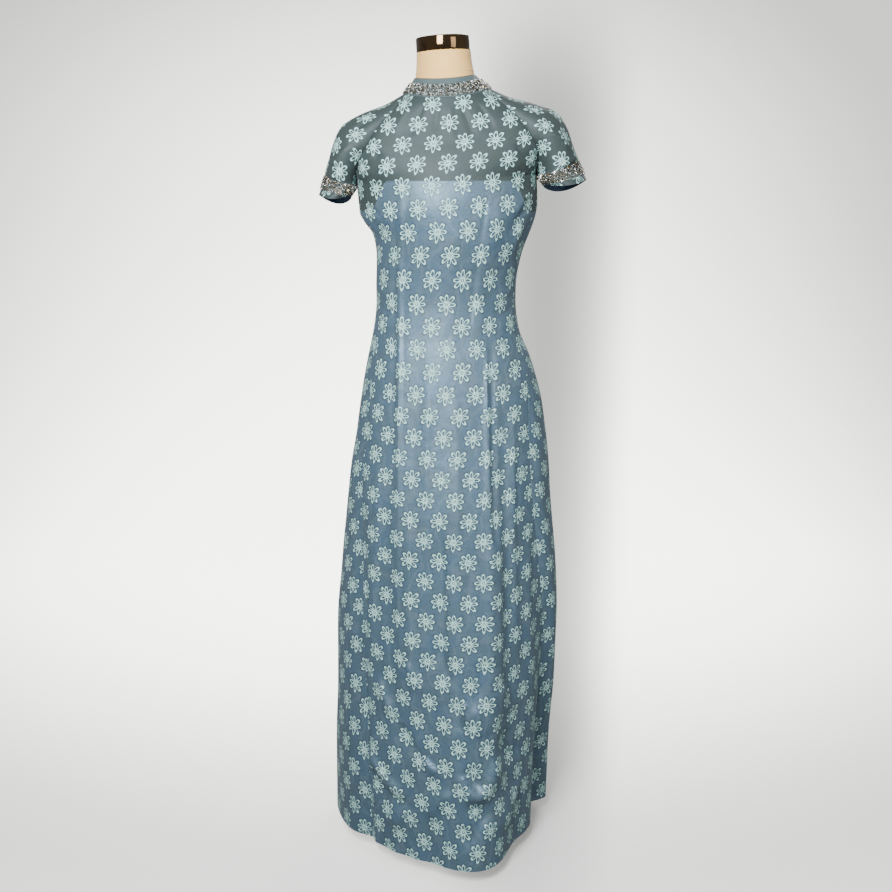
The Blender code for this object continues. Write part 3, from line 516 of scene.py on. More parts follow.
def front_grid(heights, rows, columns):
    """The front, from hem to neck and from the left seam to the right seam."""
    share = np.linspace(-1, 1, columns + 1)[None, :]
    left_side = share < 0
    level = heights[:, None] + 0 * share
    low = body_at(level)
    seam = np.radians(np.where(left_side, low.seam_left, low.seam_right))
    body = body_section(level, seam * share)
    yoke = yoke_at(rows[:, None] + 0 * share)
    edge = np.stack([np.sign(share) * yoke.seam_x + yoke.sway, yoke.front_y, yoke.front_z], axis=-1)
    centre = np.stack([yoke.sway, yoke.centre_front_y, yoke.centre_front_z], axis=-1)
    edge_angle = np.radians(np.where(left_side, UNDER.seam_left, UNDER.seam_right)) + 0 * yoke.sway
    yoke = arc(edge, centre, edge_angle * np.abs(share), edge_angle)
    yoke = meet_neck(yoke, collar_ring(0 * share[0], RAGLAN_FRONT * share[0]), rows)
    return stand(np.concatenate([body, yoke]))


def back_grid(heights, rows, side, offset, columns):
    """A half back, from hem to neck and from the centre back to its side seam."""
    low = body_at(heights)
    edge_angle = math.pi - np.radians(low.seam_left if side < 0 else low.seam_right)
    inner = np.arcsin(offset[:len(heights)] / low.half_width)
    t = np.linspace(0, 1, columns + 1)
    angle = inner[:, None] + (edge_angle - inner)[:, None] * t
    body = body_section(heights[:, None] + 0 * angle, side * (math.pi - angle))
    high = yoke_at(rows)
    last = math.pi - np.radians(UNDER.seam_left if side < 0 else UNDER.seam_right)
    inner = np.arcsin(offset[len(heights):] * np.sin(last) / high.back_x)
    angle = inner[:, None] + (last - inner)[:, None] * t
    edge = np.stack([side * high.back_x + high.sway, high.back_y, high.back_z], axis=-1)
    centre = np.stack([high.sway, high.centre_back_y, high.centre_back_z], axis=-1)
    yoke = arc(edge[:, None], centre[:, None], angle, last + 0 * angle)
    first = math.asin(offset[-1] / collar_at(0).half_width)
    ring = first + (math.pi - RAGLAN_BACK - first) * t
    yoke = meet_neck(yoke, collar_ring(0 * t, side * (math.pi - ring)), rows)
    return stand(np.concatenate([body, yoke]))


def sleeve_grid(rows, side, columns):
    """A sleeve from neck to hem. Its first column is the front seam and its last the back seam."""
    rows = np.asarray(rows, float)
    yoke = yoke_at(rows[:, None])
    sway = side * yoke.sway
    front = np.stack([yoke.seam_x + sway, yoke.front_y, yoke.front_z], axis=-1)
    back = np.stack([yoke.back_x + sway, yoke.back_y, yoke.back_z], axis=-1)
    top = np.stack([yoke.top_x, SHOULDER_Y + 0 * yoke.top_x, yoke.top_z], axis=-1)
    middle = (front + back) / 2
    chord = (back - front) / 2
    half_chord = np.linalg.norm(chord, axis=-1, keepdims=True)
    depth = np.maximum(yoke.half_depth[..., None], half_chord)
    reach = math.pi - np.arcsin(half_chord / depth)
    turn = reach * np.linspace(-1, 1, columns + 1)[None, :, None]
    long_axis = (top - middle) / (1 - np.cos(reach))
    points = top - long_axis * (1 - np.cos(turn)) + unit(chord) * depth * np.sin(turn)
    lower = ease(rows, UNDERARM_ROW - 1, CUFF_ROW)[:, None]
    dip = CUFF_TIP * (points[..., 1] - SHOULDER_Y) + CUFF_DIP * np.sin(turn[..., 0]) ** 2
    points[..., 2] -= lower * dip
    ring = RAGLAN_FRONT + (RAGLAN_BACK - RAGLAN_FRONT) * np.linspace(0, 1, columns + 1)
    points = meet_neck(points, collar_ring(0 * ring, ring), rows)
    points[..., 0] *= side
    return stand(points)


def collar_grid(rows, opening, columns):
    """The collar from its seam up, and round from the back left to the back right."""
    rows = np.asarray(rows, float)
    first = np.arcsin(opening / collar_at(rows).half_width)
    angle = (math.pi - first)[:, None] * np.linspace(-1, 1, columns + 1)
    return stand(collar_ring(rows[:, None] + 0 * angle, angle))


def normals_of(grid, side):
    return unit(side * np.cross(np.gradient(grid, axis=1), np.gradient(grid, axis=0)))


print("surfaces: body, yoke, sleeve, collar")

# %% [markdown]
# ## From surface to cloth
# A real panel is one thin layer with a right side, a wrong side and cut edges. A Solidify
# modifier would give that, but the wrong side here is plain lining, so the shell is built with
# its own inner face and rim, and each face knows which cloth it is. The UV map is the flat cut in
# metres along the grain, so a woven flower keeps its size wherever the panel bends. Cords, and the
# turned parts of the form, are closed rings of points, stacked one after another.

# %% Cloth shells
CLOTH_SHARP = math.radians(50)


def run_length(points, axis):
    """Distance along a grid's rows or columns, from its first line."""
    steps = np.linalg.norm(np.diff(points, axis=axis), axis=-1)
    pad = [(0, 0), (0, 0)]
    pad[axis] = (1, 0)
    return np.cumsum(np.pad(steps, pad), axis=axis)


def new_object(name, mesh, body=DRESS):
    piece = bpy.data.objects.new(name, mesh)
    bpy.context.scene.collection.objects.link(piece)
    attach(piece, body)
    return piece


def mesh_of(name, points, faces, uvs=None, slots=None, edge=None, smooth=True):
    """A mesh from points and four-cornered faces. uvs and edge are one value for each point."""
    mesh = bpy.data.meshes.new(name)
    mesh.from_pydata(points.tolist(), [], faces.tolist())
    if uvs is not None:
        layer = mesh.uv_layers.new(name="grain")
        layer.uv.foreach_set("vector", uvs[faces.ravel()].astype(np.float32).ravel())
    if slots is not None:
        mesh.polygons.foreach_set("material_index", slots.astype(np.int32))
    if edge is not None:
        seam = mesh.attributes.new("seam", "FLOAT", "POINT")
        seam.data.foreach_set("value", edge.astype(np.float32))
    if smooth:
        mesh.shade_smooth()
        mesh.set_sharp_from_angle(angle=CLOTH_SHARP)
    return mesh


def shell(name, grid, normals, side, uv, thick=CLOTH, edge=None):
    """A closed thin shell: right side on the grid, wrong side behind it, and a rim."""
    rows, columns = grid.shape[:2]
    count = rows * columns
    index = np.arange(count).reshape(rows, columns)
    right = np.stack([index[:-1, :-1], index[:-1, 1:], index[1:, 1:], index[1:, :-1]], -1)
    right = right.reshape(-1, 4)
    wrong = right[:, ::-1] + count
    loop = np.concatenate([index[0], index[1:, -1], index[-1, -2::-1], index[-2:0:-1, 0]])
    after = np.roll(loop, -1)
    rim = np.stack([after, loop, loop + count, after + count], -1)
    faces = np.concatenate([right, wrong, rim])
    slots = np.repeat([0, 1, 1], [len(right), len(wrong), len(rim)])
    if side < 0:
        faces = faces[:, ::-1]
    points = np.concatenate([grid.reshape(-1, 3), (grid - normals * thick).reshape(-1, 3)])
    uvs = np.tile(uv.reshape(-1, 2), (2, 1))
    edges = None if edge is None else np.tile(edge.ravel(), 2)
    return new_object(name, mesh_of(name, points, faces, uvs, slots, edges))


def ring_faces(count, sides):
    """Four-cornered faces between closed rings of points, and each ring's own points."""
    index = np.arange(count * sides).reshape(count, sides)
    after = np.roll(index, -1, axis=1)
    faces = np.stack([index[:-1], after[:-1], after[1:], index[1:]], -1).reshape(-1, 4)
    return faces.tolist(), index


def stacked(name, rings, sharp=None):
    """Closed rings, one after another, with a flat end at the first and the last."""
    faces, index = ring_faces(*rings.shape[:2])
    faces += [index[0, ::-1].tolist(), index[-1].tolist()]
    mesh = bpy.data.meshes.new(name)
    mesh.from_pydata(rings.reshape(-1, 3).tolist(), [], faces)
    mesh.shade_smooth()
    if sharp:
        mesh.set_sharp_from_angle(angle=math.radians(sharp))
    return new_object(name, mesh)


def finish_with(piece, *materials):
    for material in materials:
        piece.data.materials.append(material)


def sheet_area(piece):
    """Half the area of a closed shell, which is the area of its cloth."""
    return sum(face.area for face in piece.data.polygons) / 2


print("cloth thickness", CLOTH, "m")

# %% [markdown]
# ## Shader arithmetic
# A woven pattern is arithmetic on the cloth's own coordinates: repeats, distances, and soft
# steps. Node by node that is hard to read, so a small class lets Python's operators add the Math
# nodes. One method adds any other node, and a few short ones add what every material here needs.

# %% Shader arithmetic
def math_node(operation, swapped=False):
    """A method that adds one Math node. A swapped one takes its own value last."""
    def method(self, *others):
        values = (*others, self) if swapped else (self, *others)
        return self.shader.node("ShaderNodeMath", {"operation": operation}, dict(enumerate(values)))

    return method


class Value:
    """One output of a shader node, which Python's operators can reckon with."""

    def __init__(self, shader, socket):
        self.shader = shader
        self.socket = socket

    __add__, __radd__ = math_node("ADD"), math_node("ADD", swapped=True)
    __sub__, __rsub__ = math_node("SUBTRACT"), math_node("SUBTRACT", swapped=True)
    __mul__, __truediv__ = math_node("MULTIPLY"), math_node("DIVIDE")
    __abs__, __rpow__ = math_node("ABSOLUTE"), math_node("POWER", swapped=True)
    root, sine = math_node("SQRT"), math_node("SINE")
    floor, part = math_node("FLOOR"), math_node("FRACT")
    least, most = math_node("MINIMUM"), math_node("MAXIMUM")

    def step(self, start, end):
        """Goes softly from 0 to 1 as the value goes from start to end."""
        return self.shader.node("ShaderNodeMapRange", {"interpolation_type": "SMOOTHSTEP"},
                                {0: self, 1: start, 2: end})


class Shader:
    """A material's nodes. One method adds any node, and the others are short names for common ones."""

    def __init__(self, name):
        self.material = bpy.data.materials.new(name)
        self.material.use_nodes = True
        self.tree = self.material.node_tree
        self.tree.nodes.clear()

    def node(self, kind, settings=None, inputs=None, output=0):
        made = self.tree.nodes.new(kind)
        for name, value in (settings or {}).items():
            setattr(made, name, value)
        for name, value in (inputs or {}).items():
            if isinstance(value, Value):
                self.tree.links.new(value.socket, made.inputs[name])
            else:
                made.inputs[name].default_value = value
        return Value(self, made.outputs[output])

    def axis(self, where, letter):
        """One of the three parts of a position, by its letter: X, Y or Z."""
        return self.node("ShaderNodeSeparateXYZ", {}, {0: where}, output=letter)

    def grain(self):
        """The cloth's own coordinates in metres: across the grain, along it, and both in one."""
        uv = self.node("ShaderNodeUVMap", {"uv_map": "grain"})
        across, up = self.axis(uv, "X"), self.axis(uv, "Y")
        return across, up, self.node("ShaderNodeCombineXYZ", {}, {0: across, 1: up})

    def place(self):
        """Where a point is on the object, in metres."""
        return self.node("ShaderNodeTexCoord", {}, {}, output="Object")

    def noise(self, where, scale, detail=3.0, rough=0.5, output=0):
        inputs = {"Vector": where, "Scale": scale, "Detail": detail, "Roughness": rough}
        return self.node("ShaderNodeTexNoise", {}, inputs, output)

    def streaks(self, where, scales):
        """Noise with a scale of its own along each axis, for ribs, slubs, stitches and scratches."""
        stretched = self.node("ShaderNodeVectorMath", {"operation": "MULTIPLY"}, {0: where, 1: scales})
        return self.noise(stretched, 1.0, 2.0)

    def mix(self, share, first, second):
        """A colour between two, by a share from 0 to 1."""
        inputs = {0: share, 6: first, 7: second}
        return self.node("ShaderNodeMix", {"data_type": "RGBA"}, inputs, output=2)

    def bump(self, height):
        """Tilts the light by a height in metres."""
        return self.node("ShaderNodeBump", {}, {"Strength": 1.0, "Distance": 1.0, "Height": height})

    def surface(self, inputs):
        """The one surface shader, with its constant values set on their own sockets."""
        shader = self.node("ShaderNodeBsdfPrincipled", {}, inputs)
        out = self.tree.nodes.new("ShaderNodeOutputMaterial")
        self.tree.links.new(shader.socket, out.inputs["Surface"])
        return self.material


def linear(code):
    """A colour from the six figures that a paint chart gives, as light values."""
    parts = [int(code[i:i + 2], 16) / 255 for i in (0, 2, 4)]
    return tuple(p / 12.92 if p <= 0.04045 else ((p + 0.055) / 1.055) ** 2.4 for p in parts) + (1.0,)


def weave(across, up, pitch):
    """The hills and hollows of a plain weave, from -1 to 1."""
    waves = math.tau / pitch
    return (across * waves).sine() * (up * waves).sine()


print("the chart's middle grey, 808080, is", round(linear("808080")[0], 3), "as light")

# %% [markdown]
# ## The flowered cloth
# Two layers show as one: blue satin below, and a sheer layer that is woven with flowers in thick
# pale thread. A flower is eight loops round a ring with a dot. All stand the same way up, in rows
# that step half a repeat sideways. Each loop is a teardrop, charted below by its direction, its
# two ends and its width. The thread is wherever the distance to the nearest loop is under half a
# thread. The same distance raises the bump and paints the raised thread's shadow: the satin is
# darker beside the thread and inside its loops. Over the bodice there is no satin behind the sheer
# layer, so its ground is greyer.
# The satin ground ends at a line straight across the chest, and the greyer bodice ground reaches lower
# towards each arm.

# %% The flower's chart
REPEAT_ACROSS = 0.055
REPEAT_DOWN = 0.0394
PETAL_COLUMNS = ("turn", "near", "far", "half_width", "swell", "tip")
PETALS = (
    (0, 0.0042, 0.0155, 0.0024, 0.20, 0.0),
    (44, 0.0046, 0.0180, 0.0026, 0.30, 0.3),
    (90, 0.0040, 0.0162, 0.0027, 0.10, 0.2),
    (129, 0.0046, 0.0163, 0.0026, 0.30, 0.4),
    (178, 0.0042, 0.0150, 0.0024, 0.20, 0.0),
    (219, 0.0046, 0.0163, 0.0026, 0.25, 0.6),
    (267, 0.0040, 0.0174, 0.0026, -0.10, 1.0),
    (312, 0.0046, 0.0172, 0.0026, 0.20, 0.6),
)
RING_ACROSS, RING_UP = 0.0034, 0.0030
DOT = 0.0009
THREAD_HALF = 0.00060
THREAD_SOFT = 0.00030
THREAD_RISE = 0.00035


def thread_distance(across, up):
    """Distance in metres from each point of the cloth to the nearest thread of a flower."""
    row = (up / REPEAT_DOWN + 0.5).floor()
    step = across / REPEAT_ACROSS + row * 0.5 + 0.5
    x = (step.part() - 0.5) * REPEAT_ACROSS
    y = up - row * REPEAT_DOWN
    ring = ((x * x) / RING_ACROSS ** 2 + (y * y) / RING_UP ** 2).root() - 1
    nearest = abs(ring) * RING_UP
    nearest = nearest.least(((x * x) + (y * y)).root() - DOT)
    for shape in PETALS:
        petal = named(PETAL_COLUMNS, shape)
        turn = math.radians(petal.turn)
        middle, half = (petal.near + petal.far) / 2, (petal.far - petal.near) / 2
        along = (x * math.cos(turn) + y * math.sin(turn)) / half - middle / half
        off = y * math.cos(turn) - x * math.sin(turn)
        width = petal.half_width + along * (petal.half_width * petal.swell)
        reach = (along * along + (off * off) / (width * width)).root()
        loop = abs(reach - 1) * petal.half_width
        if petal.tip:
            inside = reach.step(1.05, 0.85) * along.step(0.25, 0.7)
            loop = loop * (1 - inside * petal.tip)
        nearest = nearest.least(loop)
    return nearest


print("petals:", len(PETALS), "repeat", REPEAT_ACROSS, "by", REPEAT_DOWN, "m")

# %% The flowered cloth
THREAD = linear("D0FFF8")
THREAD_DULL = linear("A6D4CC")
SATIN = linear("557086")
SATIN_GREEN = linear("586B72")
BODICE = linear("374241")
BODICE_GREEN = linear("3B443E")
SLUB_AND_SHADOW_COLOUR = linear("2C3D48")
LINING_TOP = 1.297
LINING_LEFT, LINING_RIGHT = -0.103, 0.119
SIDE_DROP_TURN, SIDE_DROP = 0.035, 0.055
LINING_SOFT = 0.0015
GLOSS = (0.82, 0.93, 1.0, 1.0)
WATER = linear("A9BCC8")
WATER_SHARE, SLUB_SHARE, THREAD_SHADOW_SHARE, THREAD_SHARE = 0.07, 0.10, 0.55, 0.93
LOOM_WANDER, LOOM_FRAY = 0.0022, 0.0005
THREAD_SHADOW_REACH = 0.0030
WEAVE_PITCH, WEAVE_RISE = 0.0009, 0.00001
GROOVE_REACH, GROOVE_DEPTH, PUCKER_DEPTH = 0.0024, 0.0002, 0.0004
PUFF_RISE = 0.0009


def flowered_cloth(name):
    shader = Shader(name)
    across, up, flat = shader.grain()
    # the hand of the loom: the threads wander a little, and no two flowers are quite alike
    sway = shader.noise(flat, 90.0, 2.0)
    wander = shader.axis(shader.noise(flat, 70.0, 2.0, output="Color"), "Y")
    distance = thread_distance(across + (sway - 0.5) * LOOM_WANDER, up + (wander - 0.5) * LOOM_WANDER)
    fray = shader.noise(flat, 900.0, 2.0)
    frayed = distance + (fray - 0.5) * LOOM_FRAY
    thread = frayed.step(THREAD_HALF + THREAD_SOFT, THREAD_HALF - THREAD_SOFT)
    # painted shadow of the raised thread: this mask darkens the satin beside each thread and inside its
    # loops
    beside = distance.step(THREAD_SHADOW_REACH, THREAD_HALF)
    # ground: satin with a cloudy, watered look where the two layers touch and part
    clouds = shader.noise(flat, 22.0, 5.0, 0.62).step(0.25, 0.75)
    watered = shader.node("ShaderNodeTexWave", {"wave_type": "BANDS", "bands_direction": "X"},
                          {"Vector": flat, "Scale": 9.0, "Distortion": 14.0, "Detail": 3.0,
                           "Detail Scale": 1.6}, output=1)
    slub = shader.streaks(flat, (60.0, 900.0, 1.0))
    satin = shader.mix(clouds * 0.75, SATIN, SATIN_GREEN)
    sheer = shader.mix(clouds * 0.5, BODICE, BODICE_GREEN)
    spot = shader.place()
    x, z = shader.axis(spot, "X"), shader.axis(spot, "Z")
    # the satin ground ends at a line straight across the chest, and the greyer bodice ground reaches
    # lower towards each arm
    drop_at_sides = x.step(LINING_LEFT, LINING_LEFT - SIDE_DROP_TURN)
    drop_at_sides = drop_at_sides + x.step(LINING_RIGHT, LINING_RIGHT + SIDE_DROP_TURN)
    lined = (z + drop_at_sides * SIDE_DROP).step(LINING_TOP + LINING_SOFT, LINING_TOP - LINING_SOFT)
    ground = shader.mix(lined, sheer, satin)
    ground = shader.mix(watered.step(0.5, 1.0) * lined * WATER_SHARE, ground, WATER)
    # the same dark colour serves the slubs of the weave and the painted thread shadow below
    ground = shader.mix(slub.step(0.35, 0.7) * SLUB_SHARE, ground, SLUB_AND_SHADOW_COLOUR)
    # painted shadow of the raised thread, mixed into the ground
    ground = shader.mix(beside * THREAD_SHADOW_SHARE, ground, SLUB_AND_SHADOW_COLOUR)
    pale = shader.mix(fray.step(0.3, 0.75), THREAD_DULL, THREAD)
    colour = shader.mix(thread * THREAD_SHARE, ground, pale)
    # relief: thread, fine weave, a little puff between the two layers, and puckered seams
    seam = shader.node("ShaderNodeAttribute", {"attribute_name": "seam"}, {}, output="Fac")
    pucker = shader.noise(flat, 160.0, 2.0)
    groove = seam.step(GROOVE_REACH, 0.0) * (pucker * PUCKER_DEPTH + GROOVE_DEPTH)
    puff = shader.noise(flat, 45.0, 3.0) * PUFF_RISE
    height = thread * THREAD_RISE + weave(across, up, WEAVE_PITCH) * WEAVE_RISE + puff - groove
    return shader.surface({
        "Base Color": colour,
        "Metallic": lined * 0.30 * (1 - thread),
        "Roughness": 0.60 - lined * 0.15 + thread * 0.22 + (clouds - 0.5) * 0.05,
        "Normal": shader.bump(height),
        "Specular IOR Level": 0.50,
        "Specular Tint": GLOSS,
        "Sheen Weight": 0.06,
        "Sheen Roughness": 0.45,
        "Sheen Tint": GLOSS,
    })


def plain_cloth(name, colour, second, rough=0.6, pitch=WEAVE_PITCH, sheen=0.15):
    """A plain woven cloth of two near colours, with ribs and soft clouds."""
    shader = Shader(name)
    across, up, flat = shader.grain()
    clouds = shader.noise(flat, 30.0, 4.0).step(0.35, 0.7)
    ribs = shader.streaks(flat, (900.0, 50.0, 1.0))
    return shader.surface({
        "Base Color": shader.mix(clouds * 0.6 + ribs * 0.25, colour, second),
        "Roughness": rough + (clouds - 0.5) * 0.1,
        "Normal": shader.bump(weave(across, up, pitch) * 0.00003 + clouds * 0.0004),
        "Sheen Weight": sheen,
    })


flowered = flowered_cloth("flowered_cloth")
wrong_side = plain_cloth("satin_wrong_side", linear("5F7F9E"), linear("4E6B88"))
dark_lining = plain_cloth("dark_blue_lining", linear("2A4A6C"), linear("1D3852"), 0.55)
collar_cloth = plain_cloth("collar_cloth", linear("55686C"), linear("46585B"), sheen=0.05)
bead_tape = plain_cloth("bead_tape", linear("56615F"), linear("3E4643"), 0.6, 0.0012, 0.05)
print("cloths:", [cloth.name for cloth in (flowered, wrong_side, dark_lining, collar_cloth, bead_tape)])

# %% [markdown]
# ## Front and back panels
# The front is one panel from neck to hem, shaped by two long darts. The back is two halves with
# the zip between them. Each is sampled every few millimetres, creased, and given its flat
# coordinates. The flowers drift a little sideways and tip near the hem, as the cloth is off its
# grain there.

# %% Front panel
SKIRT_LINES, YOKE_LINES = 250, 54
FRONT_LINES, BACK_LINES = 104, 54
GRAIN_COLUMNS = ("height", "row", "drift", "tip")
GRAIN = (
    (0.0300, -0.95, 0.018, -0.050),
    (0.1069, 1.00, 0.015, -0.045),
    (0.2249, 4.00, 0.004, -0.030),
    (0.3062, 6.00, -0.004, -0.015),
    (0.3845, 8.00, -0.009, 0.000),
    (0.5375, 12.00, -0.018, 0.000),
    (0.6138, 14.00, -0.020, 0.000),
    (0.7635, 18.00, -0.017, 0.000),
    (0.8389, 20.00, -0.015, 0.000),
    (0.9163, 22.00, -0.010, 0.000),
    (0.9981, 24.00, -0.001, 0.000),
    (1.0785, 26.00, 0.001, 0.000),
    (1.1668, 28.00, 0.001, 0.000),
    (1.2507, 30.00, 0.000, 0.000),
    (1.3278, 32.00, 0.000, 0.000),
    (1.3965, 34.00, 0.000, 0.000),
    (1.4420, 35.40, -0.001, 0.000),
    (1.4740, 36.80, -0.001, 0.000),
)
SEAM_FADE = 0.014
grain_at = smooth_curve(GRAIN_COLUMNS, GRAIN)

heights = np.linspace(HEM, UNDERARM, SKIRT_LINES + 1)
yoke_rows = np.linspace(UNDERARM_ROW, NECK_ROW, YOKE_LINES + 1)[1:]


def flat_cut(grid, middle):
    """The flat cut of a grid: across from its middle column, and up by the rows of flowers."""
    across = run_length(grid, 1)
    across = across - across[:, [middle]]
    grain = grain_at(grid[:, [middle], 2])
    up = grain.row * REPEAT_DOWN - grain.tip * across
    return np.stack([across - grain.drift, up], axis=-1)


def seam_distance(grid, columns=(0, -1), rows=(-1,)):
    """Distance from each point of a grid to its nearest seam, in metres."""
    across, along = run_length(grid, 1), run_length(grid, 0)
    found = [np.abs(across - across[:, [column]]) for column in columns]
    found += [np.abs(along - along[[row]]) for row in rows]
    return np.min(found, axis=0)


def creased(grid, normals, creases, seam):
    rise = crease_rise(creases, grid[..., 0], grid[..., 2]) * ease(seam, 0, SEAM_FADE)
    return grid + normals * rise[..., None]


def panel(name, grid, side, creases, middle, way=1):
    normals = normals_of(grid, side)
    seam = seam_distance(grid)
    flat = flat_cut(grid, middle) * (way, 1)
    piece = shell(name, creased(grid, normals, creases, seam), normals, side, flat, edge=seam)
    finish_with(piece, flowered, wrong_side)
    print(name, len(piece.data.polygons), "faces, cloth", round(sheet_area(piece), 3), "m2")
    return piece


front_shape = front_grid(heights, yoke_rows, FRONT_LINES)
front = panel("front_cloth", front_shape, 1, FRONT_CREASES, FRONT_LINES // 2)
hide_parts("front_panel")

# %% Back panels
ZIP_START = 0.001
up_the_back = np.concatenate([heights, np.full(len(yoke_rows), UNDERARM)])
zip_side = ease(up_the_back, ZIP_FOOT - ZIP_START, ZIP_FOOT)
zip_offset = SEAM_GAP / 2 + (ZIP_OPENING - SEAM_GAP / 2) * zip_side
for name, side in SIDES.items():
    shape = back_grid(heights, yoke_rows, side, zip_offset, BACK_LINES)
    piece = panel("back_%s_cloth" % name, shape, -side, BACK_CREASES, 0, way=-side)
    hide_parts("back_%s_panel" % name)

# %% [markdown]
# ## Sleeves
# A raglan cap sleeve runs from the neck over the shoulder and ends a hand's breadth down the
# upper arm. It stands out from the form by itself, because nothing fills it, so its inside shows:
# a darker blue lining. The lining is its own thin sheet, a hair's breadth inside.

# %% Sleeves and their linings
SLEEVE_LINES, SLEEVE_ROUND = 92, 76
SLEEVE_PHASE = {"left": 0.004, "right": 0.010}
sleeve_rows = np.linspace(NECK_ROW, CUFF_ROW, SLEEVE_LINES + 1)
for name, side in SIDES.items():
    shape = sleeve_grid(sleeve_rows, side, SLEEVE_ROUND)
    normals = normals_of(shape, -side)
    middle = SLEEVE_ROUND // 2
    across = run_length(shape, 1)
    across = (across - across[:, [middle]]) * -side
    down = -run_length(shape, 0)[:, [middle]] + 0 * across
    seam = seam_distance(shape, (0, -1), (0,))
    rise = crease_rise(SLEEVE_CREASES, across, down) * ease(seam, 0, SEAM_FADE)
    shape = shape + normals * rise[..., None]
    flat = np.stack([across, down + SLEEVE_PHASE[name]], axis=-1)
    piece = shell("sleeve_%s_cloth" % name, shape, normals, -side, flat, edge=seam)
    finish_with(piece, flowered, dark_lining)
    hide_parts("sleeve_" + name)
    inside = (sleeve_rows >= UNDERARM_ROW) & (sleeve_rows <= LINING_TO)
    back_off = CLOTH + SEAM_GAP
    lining = shell("sleeve_%s_lining_cloth" % name, shape[inside] - normals[inside] * back_off,
                   normals[inside], -side, flat[inside], thick=LINING_THICK)
    finish_with(lining, dark_lining, dark_lining)
    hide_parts("sleeve_lining_" + name)
    print(piece.name, round(sheet_area(piece), 3), "m2, lining", round(sheet_area(lining), 4), "m2")

# %% [markdown]
# ## Collar
# The collar is a low funnel in the greyer cloth, open at the back for the zip. Its upper edge is
# finished with a thin gold-brown cord, which the photograph shows as a fine line against the
# cream neck.

# %% Collar
COLLAR_LINES, COLLAR_ROUND = 22, 220
EDGE_CORD = 0.0009
collar_shape = collar_grid(np.linspace(0, 1, COLLAR_LINES + 1), ZIP_OPENING, COLLAR_ROUND)
collar_normals = normals_of(collar_shape, 1)
flat = np.stack([run_length(collar_shape, 1), run_length(collar_shape, 0)], axis=-1)
collar = shell("collar_cloth_ring", collar_shape, collar_normals, 1, flat)
finish_with(collar, collar_cloth, collar_cloth)
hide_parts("collar")


def tube(name, path, radius, sides=8):
    """A closed round tube along a path of points."""
    along = unit(np.gradient(path, axis=0))
    first = unit(np.cross(along, (0.0, 0.0, 1.0)))
    second = np.cross(along, first)
    turn = np.arange(sides) * math.tau / sides
    ring = first[:, None] * np.cos(turn)[:, None] + second[:, None] * np.sin(turn)[:, None]
    return stacked(name, path[:, None] + ring * radius)


def twisted_cord(name, colour, second):
    shader = Shader(name)
    strands = shader.node("ShaderNodeTexWave", {"wave_type": "BANDS", "bands_direction": "DIAGONAL"},
                          {"Vector": shader.place(), "Scale": 260.0, "Distortion": 1.0}, output=1)
    return shader.surface({
        "Base Color": shader.mix(strands, colour, second),
        "Roughness": strands * 0.2 + 0.35,
        "Normal": shader.bump(strands * 0.0002),
        "Metallic": 0.25,
    })


cord = tube("collar_edge_cord", collar_shape[-1] - collar_normals[-1] * (CLOTH / 2), EDGE_CORD)
finish_with(cord, twisted_cord("gold_brown_cord", linear("8A7448"), linear("5B4A2C")))
print("collar", round(sheet_area(collar), 4), "m2")

# %% [markdown]
# ## Bead trim
# The trim is a net tape, sewn thickly with bugles (short glass tubes), round beads and faceted
# stones in silver, gold, clear and dark glass, with a very few pink. Each kind is one small mesh
# that is repeated hundreds of times and joined, which is far quicker than separate objects, and
# Geometry Nodes would give the same mesh. They lie on the tape at every angle, and each band has
# its own fixed random seed.

# %% Bead shapes
def bugle():
    """A six-sided glass tube of length 1 along X and radius 1/2."""
    turn = np.arange(6) * math.tau / 6
    ring = np.stack([0 * turn, np.cos(turn) / 2, np.sin(turn) / 2], -1)
    points = np.concatenate([ring - (0.5, 0, 0), ring + (0.5, 0, 0)])
    faces = [(c, c + 6, (c + 1) % 6 + 6, (c + 1) % 6) for c in range(6)]
    faces += [(0, 1, 2, 3), (3, 4, 5, 0), (9, 8, 7, 6), (6, 11, 10, 9)]
    return points, np.array(faces)


def round_bead():
    """A ball of diameter 1, from a cube whose sides are cut in four and blown round."""
    points, faces = [], []
    for axis in range(3):
        for end in (-1, 1):
            first = len(points)
            for a in (-1, 0, 1):
                for b in (-1, 0, 1):
                    corner = np.zeros(3)
                    corner[axis], corner[(axis + 1) % 3], corner[(axis + 2) % 3] = end, a, b
                    points.append(corner / np.linalg.norm(corner) / 2)
            for a in range(2):
                for b in range(2):
                    i = first + a * 3 + b
                    face = (i, i + 3, i + 4, i + 1)
                    faces.append(face if end > 0 else face[::-1])
    return np.array(points), np.array(faces)


def stone():
    """A faceted stone of width 1: a flat table over an eight-sided girdle."""
    turn = np.arange(8) * math.tau / 8
    rings = [(0.30, -0.10), (0.50, 0.12), (0.30, 0.42)]
    points = np.array([(r * math.cos(t), r * math.sin(t), z) for r, z in rings for t in turn])
    faces, index = ring_faces(len(rings), len(turn))
    for a, b, c, d in ((0, 1, 2, 7), (7, 2, 3, 6), (6, 3, 4, 5)):
        faces.append(index[-1][[a, b, c, d]].tolist())
        faces.append(index[0][[d, c, b, a]].tolist())
    return points, np.array(faces)


SHAPES = {"bugle": bugle(), "bead": round_bead(), "stone": stone()}
print({name: len(faces) for name, (points, faces) in SHAPES.items()}, "faces each")

# %% Bead finishes
def glass_bead(name, colour, second, metallic, rough, coat=0.6):
    """Lined glass: a bright foil seen through a clear skin, a little different from bead to bead."""
    shader = Shader(name)
    each = shader.noise(shader.place(), 420.0, 1.0).step(0.3, 0.7)
    return shader.surface({
        "Base Color": shader.mix(each, colour, second),
        "Roughness": each * 0.12 + rough,
        "Metallic": metallic,
        "Coat Weight": coat,
        "Coat Roughness": 0.04,
    })


